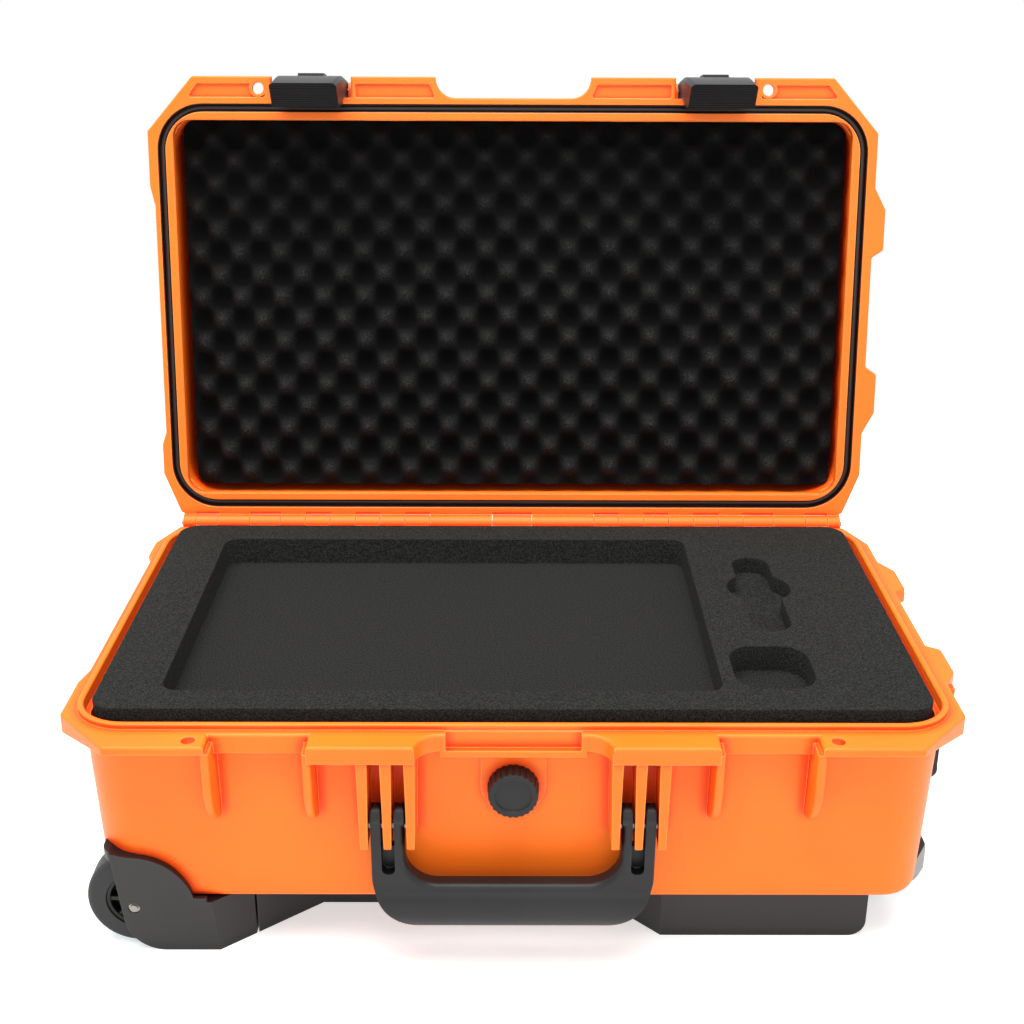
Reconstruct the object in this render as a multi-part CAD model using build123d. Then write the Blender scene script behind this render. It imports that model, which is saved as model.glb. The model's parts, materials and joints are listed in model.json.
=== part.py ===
"""Rolling laptop hard case: moulded base and lid, foam, latches, handles, wheels and trolley.

Millimetres. X to the right, Y to the back, Z up; the floor is Z = 0 and the tub is centred on X = Y = 0.
The lid and what it carries are drawn closed, then swung open about the hinge.
"""
from build123d import *
import os
from math import cos, pi, radians, sin, tan

os.makedirs("parts", exist_ok=True)

# overall levels and the tub
rim_z = 162.0                # parting plane between base and lid
tub_bottom_z = 37.5          # underside of the orange tub
tub_half_x = 260.0           # outer walls where they meet the rim
tub_half_y = 149.0
tub_corner = 30.0            # plan radius of the tub's corners
tub_edge = 6.0               # radius along the tub's bottom edge
wall = 4.0
draft_deg = 2.2              # base walls lean in towards the floor
lid_draft_deg = 3.0
lid_height = 58.0            # outer height of the lid above the rim
lid_edge = 10.0

# rim flange, measured out from the tub's walls
flange_thickness = 5.0
flange_edge = 2.0            # rounding along the base flange's upper edge
lid_flange_edge = 1.2
rim_overlap = 1.0            # how far webs and skirts run up into the flange
skirt_depth = 13.0           # deeper rim round the front corners
front_reach = 23.0
rear_reach = 8.5
end_reach = 11.5
left_step = 3.5              # straight stretch of the left end lies this far inside the corners
bump_reach = 20.0            # bumps that guard the side handle
front_run = (34.5, 39.5)     # chamfer of the front corners, along x and y
rear_run = (12.5, 31.5)
bump_inner_y = 41.5
bump_rise_y = 47.0
bump_flat_y = 77.0
bump_end_y = 93.0
corner_round = 3.0
flange_front_y = -(tub_half_y + front_reach)
flange_rear_y = tub_half_y + rear_reach
flange_side_x = tub_half_x + end_reach
flange_left_x = flange_side_x - left_step
bump_x = tub_half_x + bump_reach
front_corner_x = flange_side_x - front_run[0]
front_chamfer_y = flange_front_y + front_run[1]
rear_corner_x = flange_side_x - rear_run[0]
rear_chamfer_y = flange_rear_y - rear_run[1]

# tongue on the base and groove with its gasket in the lid
seal_offset_x = 1.5          # centreline of tongue, groove and gasket outside the tub's walls
seal_offset_y = 0.5
seal_corner = 31.5
tongue_width = 4.0
tongue_height = 3.5
tongue_round = 1.2
mouth_step = 4.5             # ledge inside the rim, below the parting plane
groove_width = 6.0
groove_depth = 9.2
gasket_radius = 2.5
gasket_gap = 0.3             # gasket above the tongue's top
band_wall = 3.5              # lid's band outside the groove
lip_width = 5.0              # lid's lip inside the groove
lid_band_height = 12.0
lid_lip_corner = 13.0
lid_lip_height = 10.0
seal_half_x = tub_half_x + seal_offset_x
seal_half_y = tub_half_y + seal_offset_y
lid_band_half_x = seal_half_x + groove_width / 2 + band_wall
lid_band_half_y = seal_half_y + groove_width / 2 + band_wall
lid_lip_half_x = seal_half_x - groove_width / 2 - lip_width
lid_lip_half_y = seal_half_y - groove_width / 2 - lip_width

# hinge
hinge_reach = 16.0           # hinge line behind the tub's rear wall
lid_open_deg = 99.6
knuckle_radius = 6.5
hinge_pin_radius = 1.75
running_gap = 0.05           # radial clearance of a pin or shaft in its bore
knuckle_gap = 0.4            # side clearance between knuckles
middle_knuckle_half = 15.3
# the others: centre inside the tub's end, half width
knuckle_insets = [(186.1, 9.5), (147.1, 9.5), (108.1, 9.5), (67.0, 11.8), (21.5, 8.5)]
hinge_end_inset = 1.0        # pin ends inside the tub's ends
last_knuckle_inset = 3.0
hinge_y = tub_half_y + hinge_reach
hinge_pin_half = tub_half_x - hinge_end_inset
base_knuckles = [(0.0, middle_knuckle_half)] + [(tub_half_x - inset, half) for inset, half in knuckle_insets]
lid_hinge_end = tub_half_x - last_knuckle_inset

# latches
latch_x = 149.2
latch_half = 25.4            # half width at the pin
latch_taper = 1.7            # narrower by this much each side at the free end
latch_pocket_half = 29.3
latch_pocket_inset = 15.0    # catch rim behind the flange's front edge
latch_pocket_depth = 12.5    # height of the base's catch rim below the parting plane
latch_pin_inset = 9.0
latch_pin_rise = 21.0
latch_pin_radius = 2.0
latch_drop = 50.0            # latch below the parting plane
latch_end_inset = 8.0        # free end behind the flange's front edge
latch_lift_rise = 16.0       # height of the slanted grip face at the free end
latch_clear = 0.6
latch_hook = 6.0
latch_chamfer = 2.5
latch_grooves = 11
groove_radius = 0.45
latch_pad_half = 9.5
latch_pad_rise = 2.4
ear_thickness = 4.6
ear_radius = 6.0
gusset_thickness = 5.2
gusset_round = 1.6
gusset_straight = 30.0
gusset_drop = 62.0
padlock_x = 188.5
padlock_inset = 8.5
padlock_radius = 4.2
padlock_ring = 6.4
panel_depth = 1.8            # panels sunk into the lid's rim
panel_low = 15.0             # their long edges behind the flange's front edge
panel_high = 5.2
panel_margin = 5.0
panel_round = 1.5
latch_pocket_y = flange_front_y + latch_pocket_inset
latch_pin_y = flange_front_y + latch_pin_inset
padlock_y = flange_front_y + padlock_inset

# carry handles, one at the front and one on the right end
handle_pin_inset = 9.0                   # front handle's pivot behind the flange's front edge
side_pin_reach = 8.0                     # side handle's pivot outside the tub's end
front_pivot_drop = 58.0
side_pivot_drop = 33.0
front_grip = (97.0, 128.8, 20.0)         # top and bottom drop, depth
side_grip = (57.0, 80.0, 13.6)
front_rounds = (38.0, 20.0)              # outer and inner corner of the handle
side_rounds = (13.0, 8.0)
front_slot_drop = 89.0                   # bottom of the slot between two tines
side_slot_drop = 54.0
apron_depth = 11.0
first_rib = 60.5             # ribs of a handle's bracket, from its middle
rib_pitch = 13.9
rib_top = 6.8
rib_bottom = 4.6
front_rib_drop = 71.5
side_rib_drop = 44.0
rib_nose = 3.0               # chamfer at the lower front end of a rib
grip_edge = 4.0              # rounding of the grip's upper edges
tine_width = 6.0
tine_round = 7.0             # radius of a tine's end, seen from its side
tine_crown = 2.6             # radius of a tine's end, seen from the front
front_tine_rise = 7.5        # centre of that end above the pivot
side_tine_rise = 1.0
slot_web_drop = 15.3         # top of the slot's closed back, below the pivot
slot_web_front = 1.0
handle_pin_radius = 2.0
handle_pin_seat = 1.6        # how far the pins reach past the middle of the outer ribs
centre_recess_half = 57.5
centre_recess_inset = 15.0
centre_recess_round = 14.9
shelf_half = 40.0
shelf_inset = 19.5
shelf_drop = 11.0
shelf_thickness = 4.0
handle_ribs = [first_rib + rib_pitch * index for index in range(3)]
tine_offsets = [first_rib + rib_pitch * (index + 0.5) for index in range(2)]
handle_width = 2 * tine_offsets[-1] + tine_width
front_pivot = (flange_front_y + handle_pin_inset, front_pivot_drop)
side_pivot = (tub_half_x + side_pin_reach, side_pivot_drop)
centre_recess_y = flange_front_y + centre_recess_inset
shelf_back_y = flange_front_y + shelf_inset

# purge valve
valve_drop = 40.0
knob_radius = 15.5
knob_height = 11.0
knob_lobes = 24
valve_boss_half = 19.5
valve_thread_radius = 6.0
valve_shaft_radius = 3.0

# wheels at the left end
wheel_inset = 25.0           # axle inside the tub's left end
wheel_z = 33.0
wheel_radius = 31.5
wheel_width = 22.0
wheel_face_inset = 8.0       # wheel's outer face inside the tub's long walls
tyre_inner_radius = 19.5
tyre_shoulder = 4.0
wheel_spokes = 8
wheel_clear = 4.0
well_wall = 4.0
axle_radius = 3.5
axle_tip_radius = 2.4
axle_seat = 19.0             # length of axle on the inner side of a wheel
bearing_radius = 8.0
bearing_width = 6.0
wheel_x = -(tub_half_x - wheel_inset)
wheel_outer_y = tub_half_y - wheel_face_inset
wheel_inner_y = wheel_outer_y - wheel_width
axle_inner_y = wheel_inner_y - axle_seat

# mouldings round the wheels
housing_rise = 2.5           # outer face in front of the tub's wall at the rim
housing_foot_lean = 4.5      # how far that face has leaned in at the floor
housing_plate = 5.3
housing_top_z = 75.0
housing_left_x = wheel_x - 11.5
housing_foot_x = wheel_x - 7.0
housing_foot_round = 25.0
housing_right_x = wheel_x + 45.5
housing_split_x = wheel_x + 71.5         # right end of the moulding under the tub
housing_shelf_z = 40.5       # top of the low block beside the swept plate
housing_diagonal_deg = 39.0
brow_reach = 8.5             # brow over the wheel, inside the tub's left end
brow_round = 11.0
brow_length = 22.0
housing_gap = 1.2
housing_face_y = tub_half_y + housing_rise
housing_plate_back_y = housing_face_y - housing_plate
housing_inner_y = axle_inner_y - 8.0

# trolley under the tub
tube_inset = 79.0            # tubes inside the tub's long walls
tube_z = 19.0
outer_tube_radius = 11.5
tube_wall = 1.2
tube_gap = 0.3
tube_end_inset = 14.0        # outer tubes end inside the tub's right end
tube_start_inset = 64.0      # and begin inside its left end
tube_step = 10.0             # each inner stage begins this much further in
middle_tube_proud = 4.0
sole_wall = 4.0
waist_inset = 50.2           # narrow stretch between the wheels and the feet
foot_inset = 17.0            # feet stand inside the tub's long walls
foot_start_x = 94.7
foot_end_inset = 34.5
toe_round = 11.0
mouth_inset = 10.0
mouth_reach = 18.0           # mouth outside the tubes' centre lines
tongue_gap = 4.0             # between the mouldings round the two wheels
grip_inset = 1.5             # back of the pull grip inside the tub's right end
grip_depth = 12.5
grip_reach = 23.0            # ends of the grip outside the tubes' centre lines
trolley_grip_z = (7.0, 50.0)
grip_socket = 7.0            # depth to which the inner tubes enter the grip
button_half_y = 26.0
button_half_z = 7.0
button_travel = 3.0
button_gap = 0.4
tube_y = tub_half_y - tube_inset
trolley_waist_y = tub_half_y - waist_inset
trolley_mouth_half = tube_y + mouth_reach
trolley_tongue_half = housing_inner_y - tongue_gap
trolley_grip_half = tube_y + grip_reach
outer_tube_ends = (-(tub_half_x - tube_start_inset), tub_half_x - tube_end_inset)
middle_tube_start = outer_tube_ends[0] + tube_step
inner_tube_start = middle_tube_start + tube_step
middle_tube_end = outer_tube_ends[1] + middle_tube_proud
trolley_foot_y = tub_half_y - foot_inset
trolley_foot_x = (foot_start_x, tub_half_x - foot_end_inset)
trolley_mouth_x = tub_half_x - mouth_inset
grip_back_x = tub_half_x - grip_inset
grip_front_x = grip_back_x + grip_depth

# screws that hold the underside's mouldings
screw_radius = 2.2
screw_head_radius = 4.4
screw_head_height = 2.6
screw_head_z = 4.0
screw_head_gap = 0.4
sole_screw_inset = 45.0      # end screws inside the tub's ends
sole_screw_reach = 34.0      # screws inside the tubes' centre lines
housing_screw_inset = 53.0   # right of the axle
housing_screw_y = (wheel_inner_y - 15.0, wheel_outer_y - 11.0)
housing_screw_x = wheel_x + housing_screw_inset
sole_screw_x = [side * (tub_half_x - sole_screw_inset) for side in (-1, 0, 1)]
sole_screw_y = tube_y - sole_screw_reach

# foam
foam_top_rise = 8.0
foam_lid_gap = 1.0           # foam inside the lid's lip when the case is shut
foam_corner = 15.0
foam_split_z = 110.0
foam_gap = 0.4
laptop_pocket = (-43.0, -2.0, 342.0, 232.0, 20.0, 10.0)     # centre x, y, size x, y, depth, corner
mouse_pocket = (162.0, -87.0, 50.0, 56.0, 18.0, 17.0)
watch_pocket = (172.0, 22.0, 26.0, 118.0, 12.0, 12.5)
watch_dial = (172.0, 30.0, 22.0)
lid_foam_gap = 0.6
foam_half_x = lid_lip_half_x - foam_lid_gap
foam_half_y = lid_lip_half_y - foam_lid_gap


def prism(half_x, half_y, corner, z_low, z_high):
    """Upright block with rounded corners in plan, centred on the origin."""
    return Pos(0, 0, z_low) * extrude(RectangleRounded(2 * half_x, 2 * half_y, corner), z_high - z_low)


def drafted(half_x, half_y, corner, z_wide, z_narrow, angle):
    """Block with rounded corners whose walls lean in by angle from z_wide to z_narrow."""
    lean = abs(z_wide - z_narrow) * tan(radians(angle))
    wide = RectangleRounded(2 * half_x, 2 * half_y, corner)
    narrow = RectangleRounded(2 * (half_x - lean), 2 * (half_y - lean), corner - lean)
    return loft([Pos(0, 0, z_wide) * wide, Pos(0, 0, z_narrow) * narrow])


def box_between(x, y, z):
    """Box from three (low, high) pairs."""
    size = [high - low for low, high in (x, y, z)]
    centre = [(high + low) / 2 for low, high in (x, y, z)]
    return Pos(*centre) * Box(*size)


def bar_x(x_low, x_high, y, z, radius):
    """Round bar along X."""
    return Pos((x_low + x_high) / 2, y, z) * Rot(0, 90, 0) * Cylinder(radius, x_high - x_low)


def bar_y(x, y_low, y_high, z, radius):
    """Round bar along Y."""
    return Pos(x, (y_low + y_high) / 2, z) * Rot(90, 0, 0) * Cylinder(radius, y_high - y_low)


def outline_face(points):
    """Flat face with straight edges between the points."""
    return make_face(Polyline(points, close=True))


def side_plate(face, x_low, x_high):
    """Plate across X from a face drawn in y and z."""
    return Plane(origin=(x_low, 0, 0), x_dir=(0, 1, 0), z_dir=(1, 0, 0)) * extrude(face, x_high - x_low)


def side_profile(points, x_low, x_high):
    """Plate across X from an outline given as (y, z) points."""
    return side_plate(outline_face(points), x_low, x_high)


def front_profile(face, y_low, y_high):
    """Plate across Y from a face drawn in x and z."""
    return Plane(origin=(0, y_high, 0), x_dir=(1, 0, 0), z_dir=(0, -1, 0)) * extrude(face, y_high - y_low)


def mirror_x(shape):
    return mirror(shape, Plane.YZ)


def mirror_y(shape):
    return mirror(shape, Plane.XZ)


def both_sides(shape):
    return shape + mirror_x(shape)


def sum_of(shapes):
    """One compound of pieces that don't touch."""
    return Compound(children=list(shapes))


def wall_lean(z):
    """How far the base's walls have leaned in at height z."""
    return (rim_z - z) * tan(radians(draft_deg))


# ---------- rim outline shared by base and lid ----------

def rim_outline():
    side = [(flange_side_x, front_chamfer_y), (flange_side_x, -bump_end_y),
            (bump_x, -bump_flat_y), (bump_x, -bump_rise_y), (flange_side_x, -bump_inner_y)]
    right = [(front_corner_x, flange_front_y)] + side
    right = right + [(x, -y) for x, y in reversed(side[1:])]
    right = right + [(flange_side_x, rear_chamfer_y), (rear_corner_x, flange_rear_y)]
    left = [(-rear_corner_x, flange_rear_y), (-flange_side_x, rear_chamfer_y),
            (-flange_side_x, bump_end_y + 10), (-flange_left_x, bump_end_y),
            (-flange_left_x, -bump_flat_y), (-flange_side_x, -bump_end_y),
            (-flange_side_x, front_chamfer_y), (-front_corner_x, flange_front_y)]
    return fillet(outline_face(right + left).vertices(), corner_round)


def centre_recess():
    """Finger recess in the middle of the front edge, with quarter-round ends."""
    depth = centre_recess_y - flange_front_y
    slot = Pos(0, flange_front_y) * RectangleRounded(2 * centre_recess_half, 2 * depth, centre_recess_round)
    return slot


def rim_face():
    pocket = Pos(latch_x, flange_front_y) * Rectangle(2 * latch_pocket_half, 2 * latch_pocket_inset)
    return rim_outline() - centre_recess() - pocket - mirror(pocket, Plane.YZ)


def seal_ring(width, z_low, z_high):
    half = width / 2
    outer = prism(seal_half_x + half, seal_half_y + half, seal_corner + half, z_low, z_high)
    inner = prism(seal_half_x - half, seal_half_y - half, seal_corner - half, z_low, z_high)
    return outer - inner


def tongue():
    ring = seal_ring(tongue_width, rim_z - rim_overlap, rim_z + tongue_height)
    return fillet(ring.edges().group_by(Axis.Z)[-1], tongue_round)


def padlock_hole(z_low, z_high):
    hole = Pos(padlock_x, padlock_y, (z_low + z_high) / 2) * Cylinder(padlock_radius, z_high - z_low + 2)
    return both_sides(hole)


# ---------- hinge ----------

def knuckle(x_low, x_high, side):
    """Hinge knuckle with its arm; side -1 hangs from the base, +1 stands on the lid."""
    arm_z = sorted((rim_z, rim_z + side * knuckle_radius))
    arm = box_between((x_low, x_high), (flange_rear_y - 2, hinge_y), arm_z)
    return arm + bar_x(x_low, x_high, hinge_y, rim_z, knuckle_radius)


def base_knuckle_set():
    solid = None
    for centre, half in base_knuckles:
        for x in {centre, -centre}:
            piece = knuckle(x - half, x + half, -1)
            solid = piece if solid is None else solid + piece
    return solid


def lid_knuckle_set():
    edges = [(centre - half, centre + half) for centre, half in base_knuckles]
    starts = [high for _, high in edges]
    ends = [low for low, _ in edges[1:]] + [lid_hinge_end + knuckle_gap]
    solid = None
    for start, end in zip(starts, ends):
        piece = knuckle(start + knuckle_gap, end - knuckle_gap, 1)
        piece = piece + mirror_x(piece)
        solid = piece if solid is None else solid + piece
    return solid


def hinge_bore():
    return bar_x(-hinge_pin_half - 5, hinge_pin_half + 5, hinge_y, rim_z, hinge_pin_radius + running_gap)


# ---------- base ----------

def handle_ribs_face(drop):
    """Three tapering ribs, drawn in x and z, that carry one end of a handle."""
    solid = None
    top_z, end_z = rim_z - flange_thickness, rim_z - drop
    half_top, half_end = rib_top / 2, rib_bottom / 2
    for offset in handle_ribs:
        turn_left, turn_right = (offset - half_end, end_z + half_end), (offset + half_end, end_z + half_end)
        left = Line((offset - half_top, top_z), turn_left)
        end = ThreePointArc(turn_left, (offset, end_z), turn_right)
        right = Line(turn_right, (offset + half_top, top_z))
        face = make_face(left + end + right + Line((offset + half_top, top_z), (offset - half_top, top_z)))
        solid = face if solid is None else solid + face
    return solid


def front_bracket():
    y, drop = front_pivot
    face_y = flange_front_y + 1
    low = rim_z - front_rib_drop - 1
    ribs = front_profile(handle_ribs_face(front_rib_drop), face_y, -tub_half_y + wall - 0.5)
    nose = side_profile([(face_y - 1, low), (face_y - 1, low + rib_nose + 1), (face_y + rib_nose, low)],
                        0, handle_width)
    return both_sides(ribs - nose - pin_seats(Pos(0, y, rim_z - drop)))


def side_bracket():
    x, drop = side_pivot
    face_x = bump_x - 3
    ribs = front_profile(handle_ribs_face(side_rib_drop), 0, face_x - tub_half_x + wall)
    ribs = Pos(face_x, 0, 0) * Rot(0, 0, 90) * ribs
    both = ribs + mirror_y(ribs)
    seats = pin_seats(Pos(x, 0, rim_z - drop) * Rot(0, 0, 90))
    return both - seats - mirror_y(seats)


def latch_gussets():
    """Webs that carry the rim on either side of each latch, swept back to the wall below."""
    back_y, front_y = -tub_half_y + wall, flange_front_y + 0.5
    top_z = rim_z - flange_thickness
    straight_z, end_z = rim_z - gusset_straight, rim_z - gusset_drop
    sweep = TangentArc((front_y, straight_z), (back_y, end_z), tangent=(0, -1))
    outline = Polyline([(back_y, end_z), (back_y, top_z), (front_y, top_z), (front_y, straight_z)]) + sweep
    web = side_plate(make_face(outline), -gusset_thickness / 2, gusset_thickness / 2)
    front = web.faces().sort_by(Axis.Y)[0]
    web = fillet(front.edges().filter_by(Axis.Z), gusset_round)
    inner, outer = latch_x - latch_pocket_half, latch_x + latch_pocket_half
    return both_sides(Pos(inner, 0, 0) * web + Pos(outer, 0, 0) * web)


def base_apron():
    """Deeper rim between the latch pockets, hollowed in the middle over the handle."""
    low, high = rim_z - apron_depth, rim_z - flange_thickness + rim_overlap
    inner = latch_x - latch_pocket_half
    front = box_between((-inner, inner), (flange_front_y, -tub_half_y + wall), (low, high))
    front = front - extrude(Pos(0, 0, low - 1) * centre_recess(), apron_depth + 2)
    niche = box_between((-shelf_half, shelf_half), (flange_front_y, shelf_back_y), (low - 10, rim_z + 1))
    shelf = box_between((-shelf_half - 3, shelf_half + 3), (centre_recess_y, -tub_half_y + wall),
                        (rim_z - shelf_drop - shelf_thickness, rim_z - shelf_drop))
    catch = box_between((inner, latch_x + latch_pocket_half), (latch_pocket_y, -tub_half_y + wall),
                        (rim_z - latch_pocket_depth, high))
    bump = make_face(Polyline([(tub_half_x - wall, -bump_end_y), (flange_side_x, -bump_end_y),
                               (bump_x, -bump_flat_y), (bump_x, -bump_rise_y), (flange_side_x, -bump_inner_y),
                               (tub_half_x - wall, -bump_inner_y)], close=True))
    bump = extrude(Pos(0, 0, low) * bump, high - low)
    return front - niche + shelf + both_sides(catch) + bump + mirror_y(bump), niche


def corner_skirt():
    """Deeper rim that grows along the front corners and runs back to the end walls."""
    thin_z, deep_z = rim_z - flange_thickness, rim_z - skirt_depth
    top_z = thin_z + rim_overlap
    run = Vector(*front_run, 0)
    reach = run.length + 200
    wedge = outline_face([(-4, top_z), (-4, thin_z), (0, thin_z), (run.length, deep_z), (reach, deep_z),
                          (reach, top_z)])
    plane = Plane(origin=(front_corner_x, flange_front_y, 0), x_dir=run, z_dir=run.cross(Vector(0, 0, 1)))
    block = plane * extrude(wedge, 70, both=True)
    extent = box_between((front_corner_x - 40, bump_x + 1), (flange_front_y - 1, -bump_end_y + 4),
                         (deep_z, top_z))
    return extrude(Pos(0, 0, deep_z) * rim_outline(), top_z - deep_z) & block & extent


def end_gussets():
    """Sloping underside of the rim along the two ends."""
    drop = 8.0
    high = rim_z - flange_thickness + rim_overlap
    low = rim_z - flange_thickness - drop
    left = outline_face([(-flange_left_x + 1, high), (-tub_half_x + wall, high), (-tub_half_x + wall, low),
                         (-tub_half_x - 1, low), (-flange_left_x + 1, rim_z - flange_thickness - 1)])
    strip = front_profile(left, -bump_end_y - 17, rear_chamfer_y - 6)
    extent = box_between((-bump_x, 0), (bump_end_y - 5, rear_chamfer_y - 8), (0, rim_z))
    return strip + mirror_x(strip & extent)


def wheel_arch(radius, inner_y):
    return bar_y(wheel_x, -tub_half_y - 20, -inner_y, wheel_z, radius)


def tub_block():
    """Drafted outside of the tub."""
    block = drafted(tub_half_x, tub_half_y, tub_corner, rim_z, tub_bottom_z, draft_deg)
    return fillet(block.edges().group_by(Axis.Z)[0], tub_edge)


def valve_boss():
    """Raised pad behind the purge valve, from the shelf down to a round end."""
    top_z, centre_z = rim_z - apron_depth - shelf_thickness + rim_overlap, rim_z - valve_drop
    upper = Pos(0, (top_z + centre_z) / 2) * Rectangle(2 * valve_boss_half, top_z - centre_z)
    return (front_profile(upper, -tub_half_y, -tub_half_y + wall)
            + bar_y(0, -tub_half_y, -tub_half_y + wall, centre_z, valve_boss_half))


def tub_cavity():
    """Room inside the base, with the ledge below the tongue and the wheel wells left standing."""
    floor_z = tub_bottom_z + wall
    cavity = drafted(tub_half_x - wall, tub_half_y - wall, tub_corner - wall, rim_z, floor_z, draft_deg)
    cavity = fillet(cavity.edges().group_by(Axis.Z)[0], tub_edge - 2)
    edge = tongue_width / 2 + 0.1
    mouth = prism(seal_half_x - edge, seal_half_y - edge, seal_corner - edge, rim_z - mouth_step, rim_z + 10)
    room = wheel_arch(wheel_radius + wheel_clear + well_wall, wheel_inner_y - wheel_clear - well_wall)
    return cavity + mouth - room - mirror_y(room)


def base_shell():
    rim = extrude(Pos(0, 0, rim_z - flange_thickness) * rim_face(), flange_thickness)
    rim = fillet(rim.faces().sort_by(Axis.Z)[-1].edges(), flange_edge)
    apron, niche = base_apron()
    body = tub_block() + (rim - niche) + apron + both_sides(corner_skirt()) + end_gussets()
    body = body + latch_gussets() + front_bracket() + side_bracket() + valve_boss()
    body = body + base_knuckle_set() + tongue()
    arch = wheel_arch(wheel_radius + wheel_clear, wheel_inner_y - wheel_clear)
    valve_hole = bar_y(0, -tub_half_y - 10, -tub_half_y + 10, rim_z - valve_drop, valve_thread_radius)
    body = body - tub_cavity() - arch - mirror_y(arch) - valve_hole - sole_screws() - housing_screws()
    return body - hinge_bore() - padlock_hole(rim_z - flange_thickness, rim_z)


def hinge_pin():
    return bar_x(-hinge_pin_half, hinge_pin_half, hinge_y, rim_z, hinge_pin_radius)


# ---------- lid ----------

def opened(shape):
    """A piece drawn on the closed lid, swung to the open stop."""
    return shape.rotate(Axis((0, hinge_y, rim_z), (1, 0, 0)), -lid_open_deg)


def latch_ears():
    """Pair of ears on the lid that hold a latch's pin."""
    pin_z = rim_z + latch_pin_rise
    solid = None
    for side in (-1, 1):
        low = latch_x + side * (latch_half + latch_clear) - (ear_thickness if side < 0 else 0)
        ear_x = (low, low + ear_thickness)
        foot = box_between(ear_x, (latch_pocket_y + 1, -tub_half_y + wall), (rim_z + 1, pin_z + ear_radius))
        arm = box_between(ear_x, (latch_pin_y, -tub_half_y + wall), (pin_z - ear_radius, pin_z + ear_radius))
        piece = foot + arm + bar_x(*ear_x, latch_pin_y, pin_z, ear_radius)
        solid = piece if solid is None else solid + piece
    return solid - bar_x(latch_x - 60, latch_x + 60, latch_pin_y, pin_z, latch_pin_radius)


def rim_panels():
    """Shallow panels sunk into the lid's rim, either side of each latch."""
    low, high = flange_front_y + panel_low, flange_front_y + panel_high
    inner_edge = latch_x - latch_pocket_half - 3
    outer_edge = latch_x + latch_pocket_half + panel_margin
    outer = [(outer_edge, low), (front_corner_x + 4, low), (front_corner_x - 4, high), (outer_edge, high)]
    inner = [(centre_recess_half, low), (inner_edge, low), (inner_edge, high),
             (centre_recess_half + 4.5, high)]
    faces = [fillet(outline_face(outline).vertices(), panel_round) for outline in (outer, inner)]
    panels = [extrude(Pos(0, 0, rim_z - 1) * face, 1 + panel_depth) for face in faces]
    ring = Pos(padlock_x, padlock_y, rim_z) * Cylinder(padlock_ring, 4 * panel_depth)
    return both_sides(panels[0] + panels[1] - ring)


def lid_ribs():
    """Long stiffening ribs and a raised frame on top of the lid."""
    top = rim_z + lid_height
    half_x, half_y = tub_half_x - 35, tub_half_y - 31
    frame = prism(half_x, half_y, 22, top - 1, top + 2) - prism(half_x - 8, half_y - 8, 14, top - 2, top + 3)
    rails = None
    for row in (-1.5, -0.5, 0.5, 1.5):
        rail = Pos(0, 44.0 * row, top - 0.5) * extrude(SlotOverall(2 * half_x - 70, 14), 1.5)
        rails = rail if rails is None else rails + rail
    return frame + rails


def lid_shell():
    outer = drafted(tub_half_x, tub_half_y, tub_corner, rim_z, rim_z + lid_height, lid_draft_deg)
    outer = fillet(outer.edges().group_by(Axis.Z)[-1], lid_edge)
    rim = extrude(Pos(0, 0, rim_z) * rim_face(), flange_thickness)
    rim = fillet(rim.faces().sort_by(Axis.Z)[0].edges(), lid_flange_edge)
    band = prism(lid_band_half_x, lid_band_half_y, seal_corner + 6, rim_z, rim_z + lid_band_height)
    ears = latch_ears()
    body = outer + rim + band + both_sides(ears) + lid_knuckle_set() + lid_ribs()
    mouth = prism(lid_lip_half_x, lid_lip_half_y, lid_lip_corner, rim_z - 1, rim_z + lid_lip_height + 1)
    body = body - lid_hollow(0) - mouth - seal_ring(groove_width, rim_z - 1, rim_z + groove_depth)
    return body - hinge_bore() - padlock_hole(rim_z, rim_z + flange_thickness) - rim_panels()


def lid_hollow(gap):
    """Room above the lid's lip, drawn in from its walls by gap."""
    half_x, half_y = tub_half_x - wall - gap, tub_half_y - wall - gap
    return drafted(half_x, half_y, tub_corner - wall - gap, rim_z + lid_lip_height + gap,
                   rim_z + lid_height - wall - gap, lid_draft_deg)


def lid_gasket():
    centre_z = rim_z + tongue_height + gasket_gap + gasket_radius
    path = Pos(0, 0, centre_z) * RectangleRounded(2 * seal_half_x, 2 * seal_half_y, seal_corner).wire()
    across = Plane(origin=(0, -seal_half_y, centre_z), x_dir=(0, 1, 0), z_dir=(1, 0, 0))
    return sweep(across * Circle(gasket_radius), path=path)


def latch_side_face():
    """Outline of the latch seen from its side, in y and z."""
    pin_z = rim_z + latch_pin_rise
    inner_y = latch_pocket_y - latch_clear
    hook_z = rim_z - latch_pocket_depth - latch_clear
    (lift_y, lift_z), end = latch_grip_line()
    top = (flange_front_y + 1.4, pin_z + 6)
    back = Polyline([(inner_y, pin_z), (inner_y, hook_z), (inner_y + latch_hook, hook_z),
                     (lift_y - 1.4, hook_z - 8), (lift_y, lift_z), end])
    front = Spline([end, (flange_front_y + 2, rim_z - 22), (flange_front_y - 0.4, rim_z + 4), top])
    cap = ThreePointArc(top, (latch_pin_y - 0.5, pin_z + 9.6), (inner_y, pin_z))
    return make_face(back + front + cap)


def latch_grip_line():
    """Slanted face at the latch's free end: its upper point by the tub's wall and its outer point."""
    end_z = rim_z - latch_drop
    lift_z = end_z + latch_lift_rise
    return (-tub_half_y + wall_lean(lift_z) - latch_clear, lift_z), (flange_front_y + latch_end_inset, end_z)


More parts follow.
